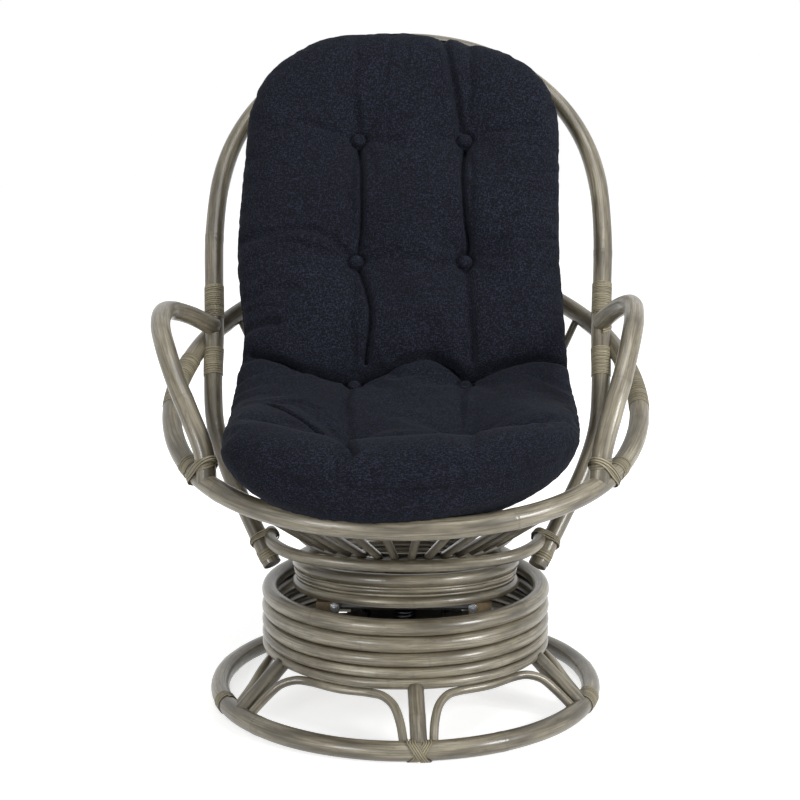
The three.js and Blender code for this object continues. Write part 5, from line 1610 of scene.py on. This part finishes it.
def cover_button(name, row, column):
    place, up = pad_layer(np.array([row]))
    start = Vector((place[0] + (TUFT_COLUMNS[column], 0, 0) + up[0] * 130) * MM + axis_place)
    hit, _, _, _ = pad_tree.ray_cast(start, Vector(-up[0]))
    bm = bmesh.new()
    profile = [bm.verts.new((r * MM, 0, z * MM)) for r, z in BUTTON_PROFILE]
    edges = [bm.edges.new(pair) for pair in zip(profile[:-1], profile[1:])]
    bmesh.ops.spin(
        bm, geom=profile + edges, cent=(0, 0, 0), axis=(0, 0, 1), angle=2 * math.pi, steps=32, use_merge=True
    )
    bmesh.ops.remove_doubles(bm, verts=bm.verts, dist=1e-6)
    turn = Vector((0, 0, 1)).rotation_difference(Vector(up[0])).to_matrix().to_4x4()
    set_at = hit + Vector(up[0]) * PROUD_IN_FOLD.get(name, PROUD) * MM
    bmesh.ops.transform(bm, matrix=Matrix.Translation(set_at) @ turn, verts=bm.verts)
    for face in bm.faces:
        face.smooth = True
    nodes = [] if name == LEFT_TO_THE_SCENE else [name]
    button = finish_piece(f"{name}_cover", bm, linen, "seat", nodes=nodes)
    cloth = read_points(button.data, "co") - np.array(hit) + (row, 0.01 * column, 0)
    weave = button.data.attributes.new("weave", "FLOAT_VECTOR", "POINT")
    weave.data.foreach_set("vector", cloth.astype(np.float32).ravel())
    print(name, "at", tuple(round(v, 3) for v in hit))


for level, row in BUTTON_ROWS:
    for column, side_name in enumerate(("left", "right")):
        cover_button(f"{level}_{side_name}_button", row, column)

# %% [markdown]
# The chair stands on a pale studio floor. It is white to the camera because it glows for camera, mirror and
# glass rays, not because of more light, and it glows less near the chair, so that the soft shadow there
# stays.

# %% Studio floor
FLOOR_HALF_SIZE = 14
FLOOR_DROP = 0.0006
floor_material, tree = new_material("matt_white_studio_floor")
place = add_node(tree, "TexCoord", give="Object")
speck = add_node(tree, "TexNoise", Vector=place, Scale=3.0)
tint = add_node(tree, "Mix", COLOURS, 2, _0=speck, _6=linear("#D2D2D1"), _7=linear("#DADADA"))


def seen_ray(tree):
    """1 for the rays that see the background: from the camera, and by mirroring or through glass."""
    path = add_node(tree, "LightPath").node.outputs
    by_camera, by_mirror, by_glass = (path[f"Is {kind} Ray"] for kind in ("Camera", "Glossy", "Transmission"))
    mirrored = add_node(tree, "Math", {"operation": "MAXIMUM"}, _0=by_mirror, _1=by_glass)
    return add_node(tree, "Math", {"operation": "MAXIMUM"}, _0=by_camera, _1=mirrored)


away = add_node(tree, "VectorMath", {"operation": "LENGTH"}, "Value", _0=place)
glow = add_node(tree, "MapRange", Value=away, From_Min=0.45, From_Max=1.8, To_Min=0.72, To_Max=1.0)
seen = add_node(tree, "Math", {"operation": "MULTIPLY"}, _0=seen_ray(tree), _1=glow)
shader = add_node(
    tree, "BsdfPrincipled", Base_Color=tint, Roughness=0.9, Emission_Color=(1, 1, 1, 1),
    Emission_Strength=seen,
)
add_node(tree, "OutputMaterial", Surface=shader)
bm = bmesh.new()
bmesh.ops.create_grid(bm, x_segments=8, y_segments=8, size=FLOOR_HALF_SIZE)
floor = new_object("studio_floor", bm)
floor.data.materials.append(floor_material)
floor.location.z = -FLOOR_DROP
print("floor", 2 * FLOOR_HALF_SIZE, "m wide")

# %% [markdown]
# The sky is white to the same rays and dim to all others, so that the light on the chair comes from big
# soft lamps. A fourth lamp lifts the back of the chair. It is kept out of mirror rays, as its glare would
# burn away the tops of the arms.

# %% Studio light
world = bpy.data.worlds.new("studio")
world.use_nodes = True
bpy.context.scene.world = world
tree = world.node_tree
tree.nodes.clear()
room = add_node(tree, "Background", Color=(1, 1, 1, 1), Strength=0.15)
white = add_node(tree, "Background", Color=(1, 1, 1, 1), Strength=1.0)
mixed = add_node(tree, "MixShader", _0=seen_ray(tree), _1=room, _2=white)
add_node(tree, "OutputWorld", Surface=mixed)

LAMPS = (  # name, place, height that it looks at, size, power
    ("overhead_softbox", (0.3, -0.7, 3.1), 0.5, 1.6, 34), ("left_softbox", (-1.7, -2.9, 1.1), 0.35, 0.9, 40),
    ("right_softbox", (2.6, -1.9, 1.5), 0.4, 0.9, 74), ("rear_softbox", (-0.9, 2.9, 1.5), 0.5, 1.2, 26),
)
for name, place, height, size, power in LAMPS:
    data = bpy.data.lights.new(name, "AREA")
    data.shape, data.size, data.energy = "SQUARE", size, power
    lamp = bpy.data.objects.new(name, data)
    bpy.context.scene.collection.objects.link(lamp)
    lamp.location = place
    lamp.rotation_euler = (Vector((0, 0, height)) - Vector(place)).to_track_quat("-Z", "Y").to_euler()
    lamp.visible_glossy = name != "rear_softbox"
bpy.context.scene.view_settings.view_transform = "Standard"
print("studio ready,", len(LAMPS), "lamps")
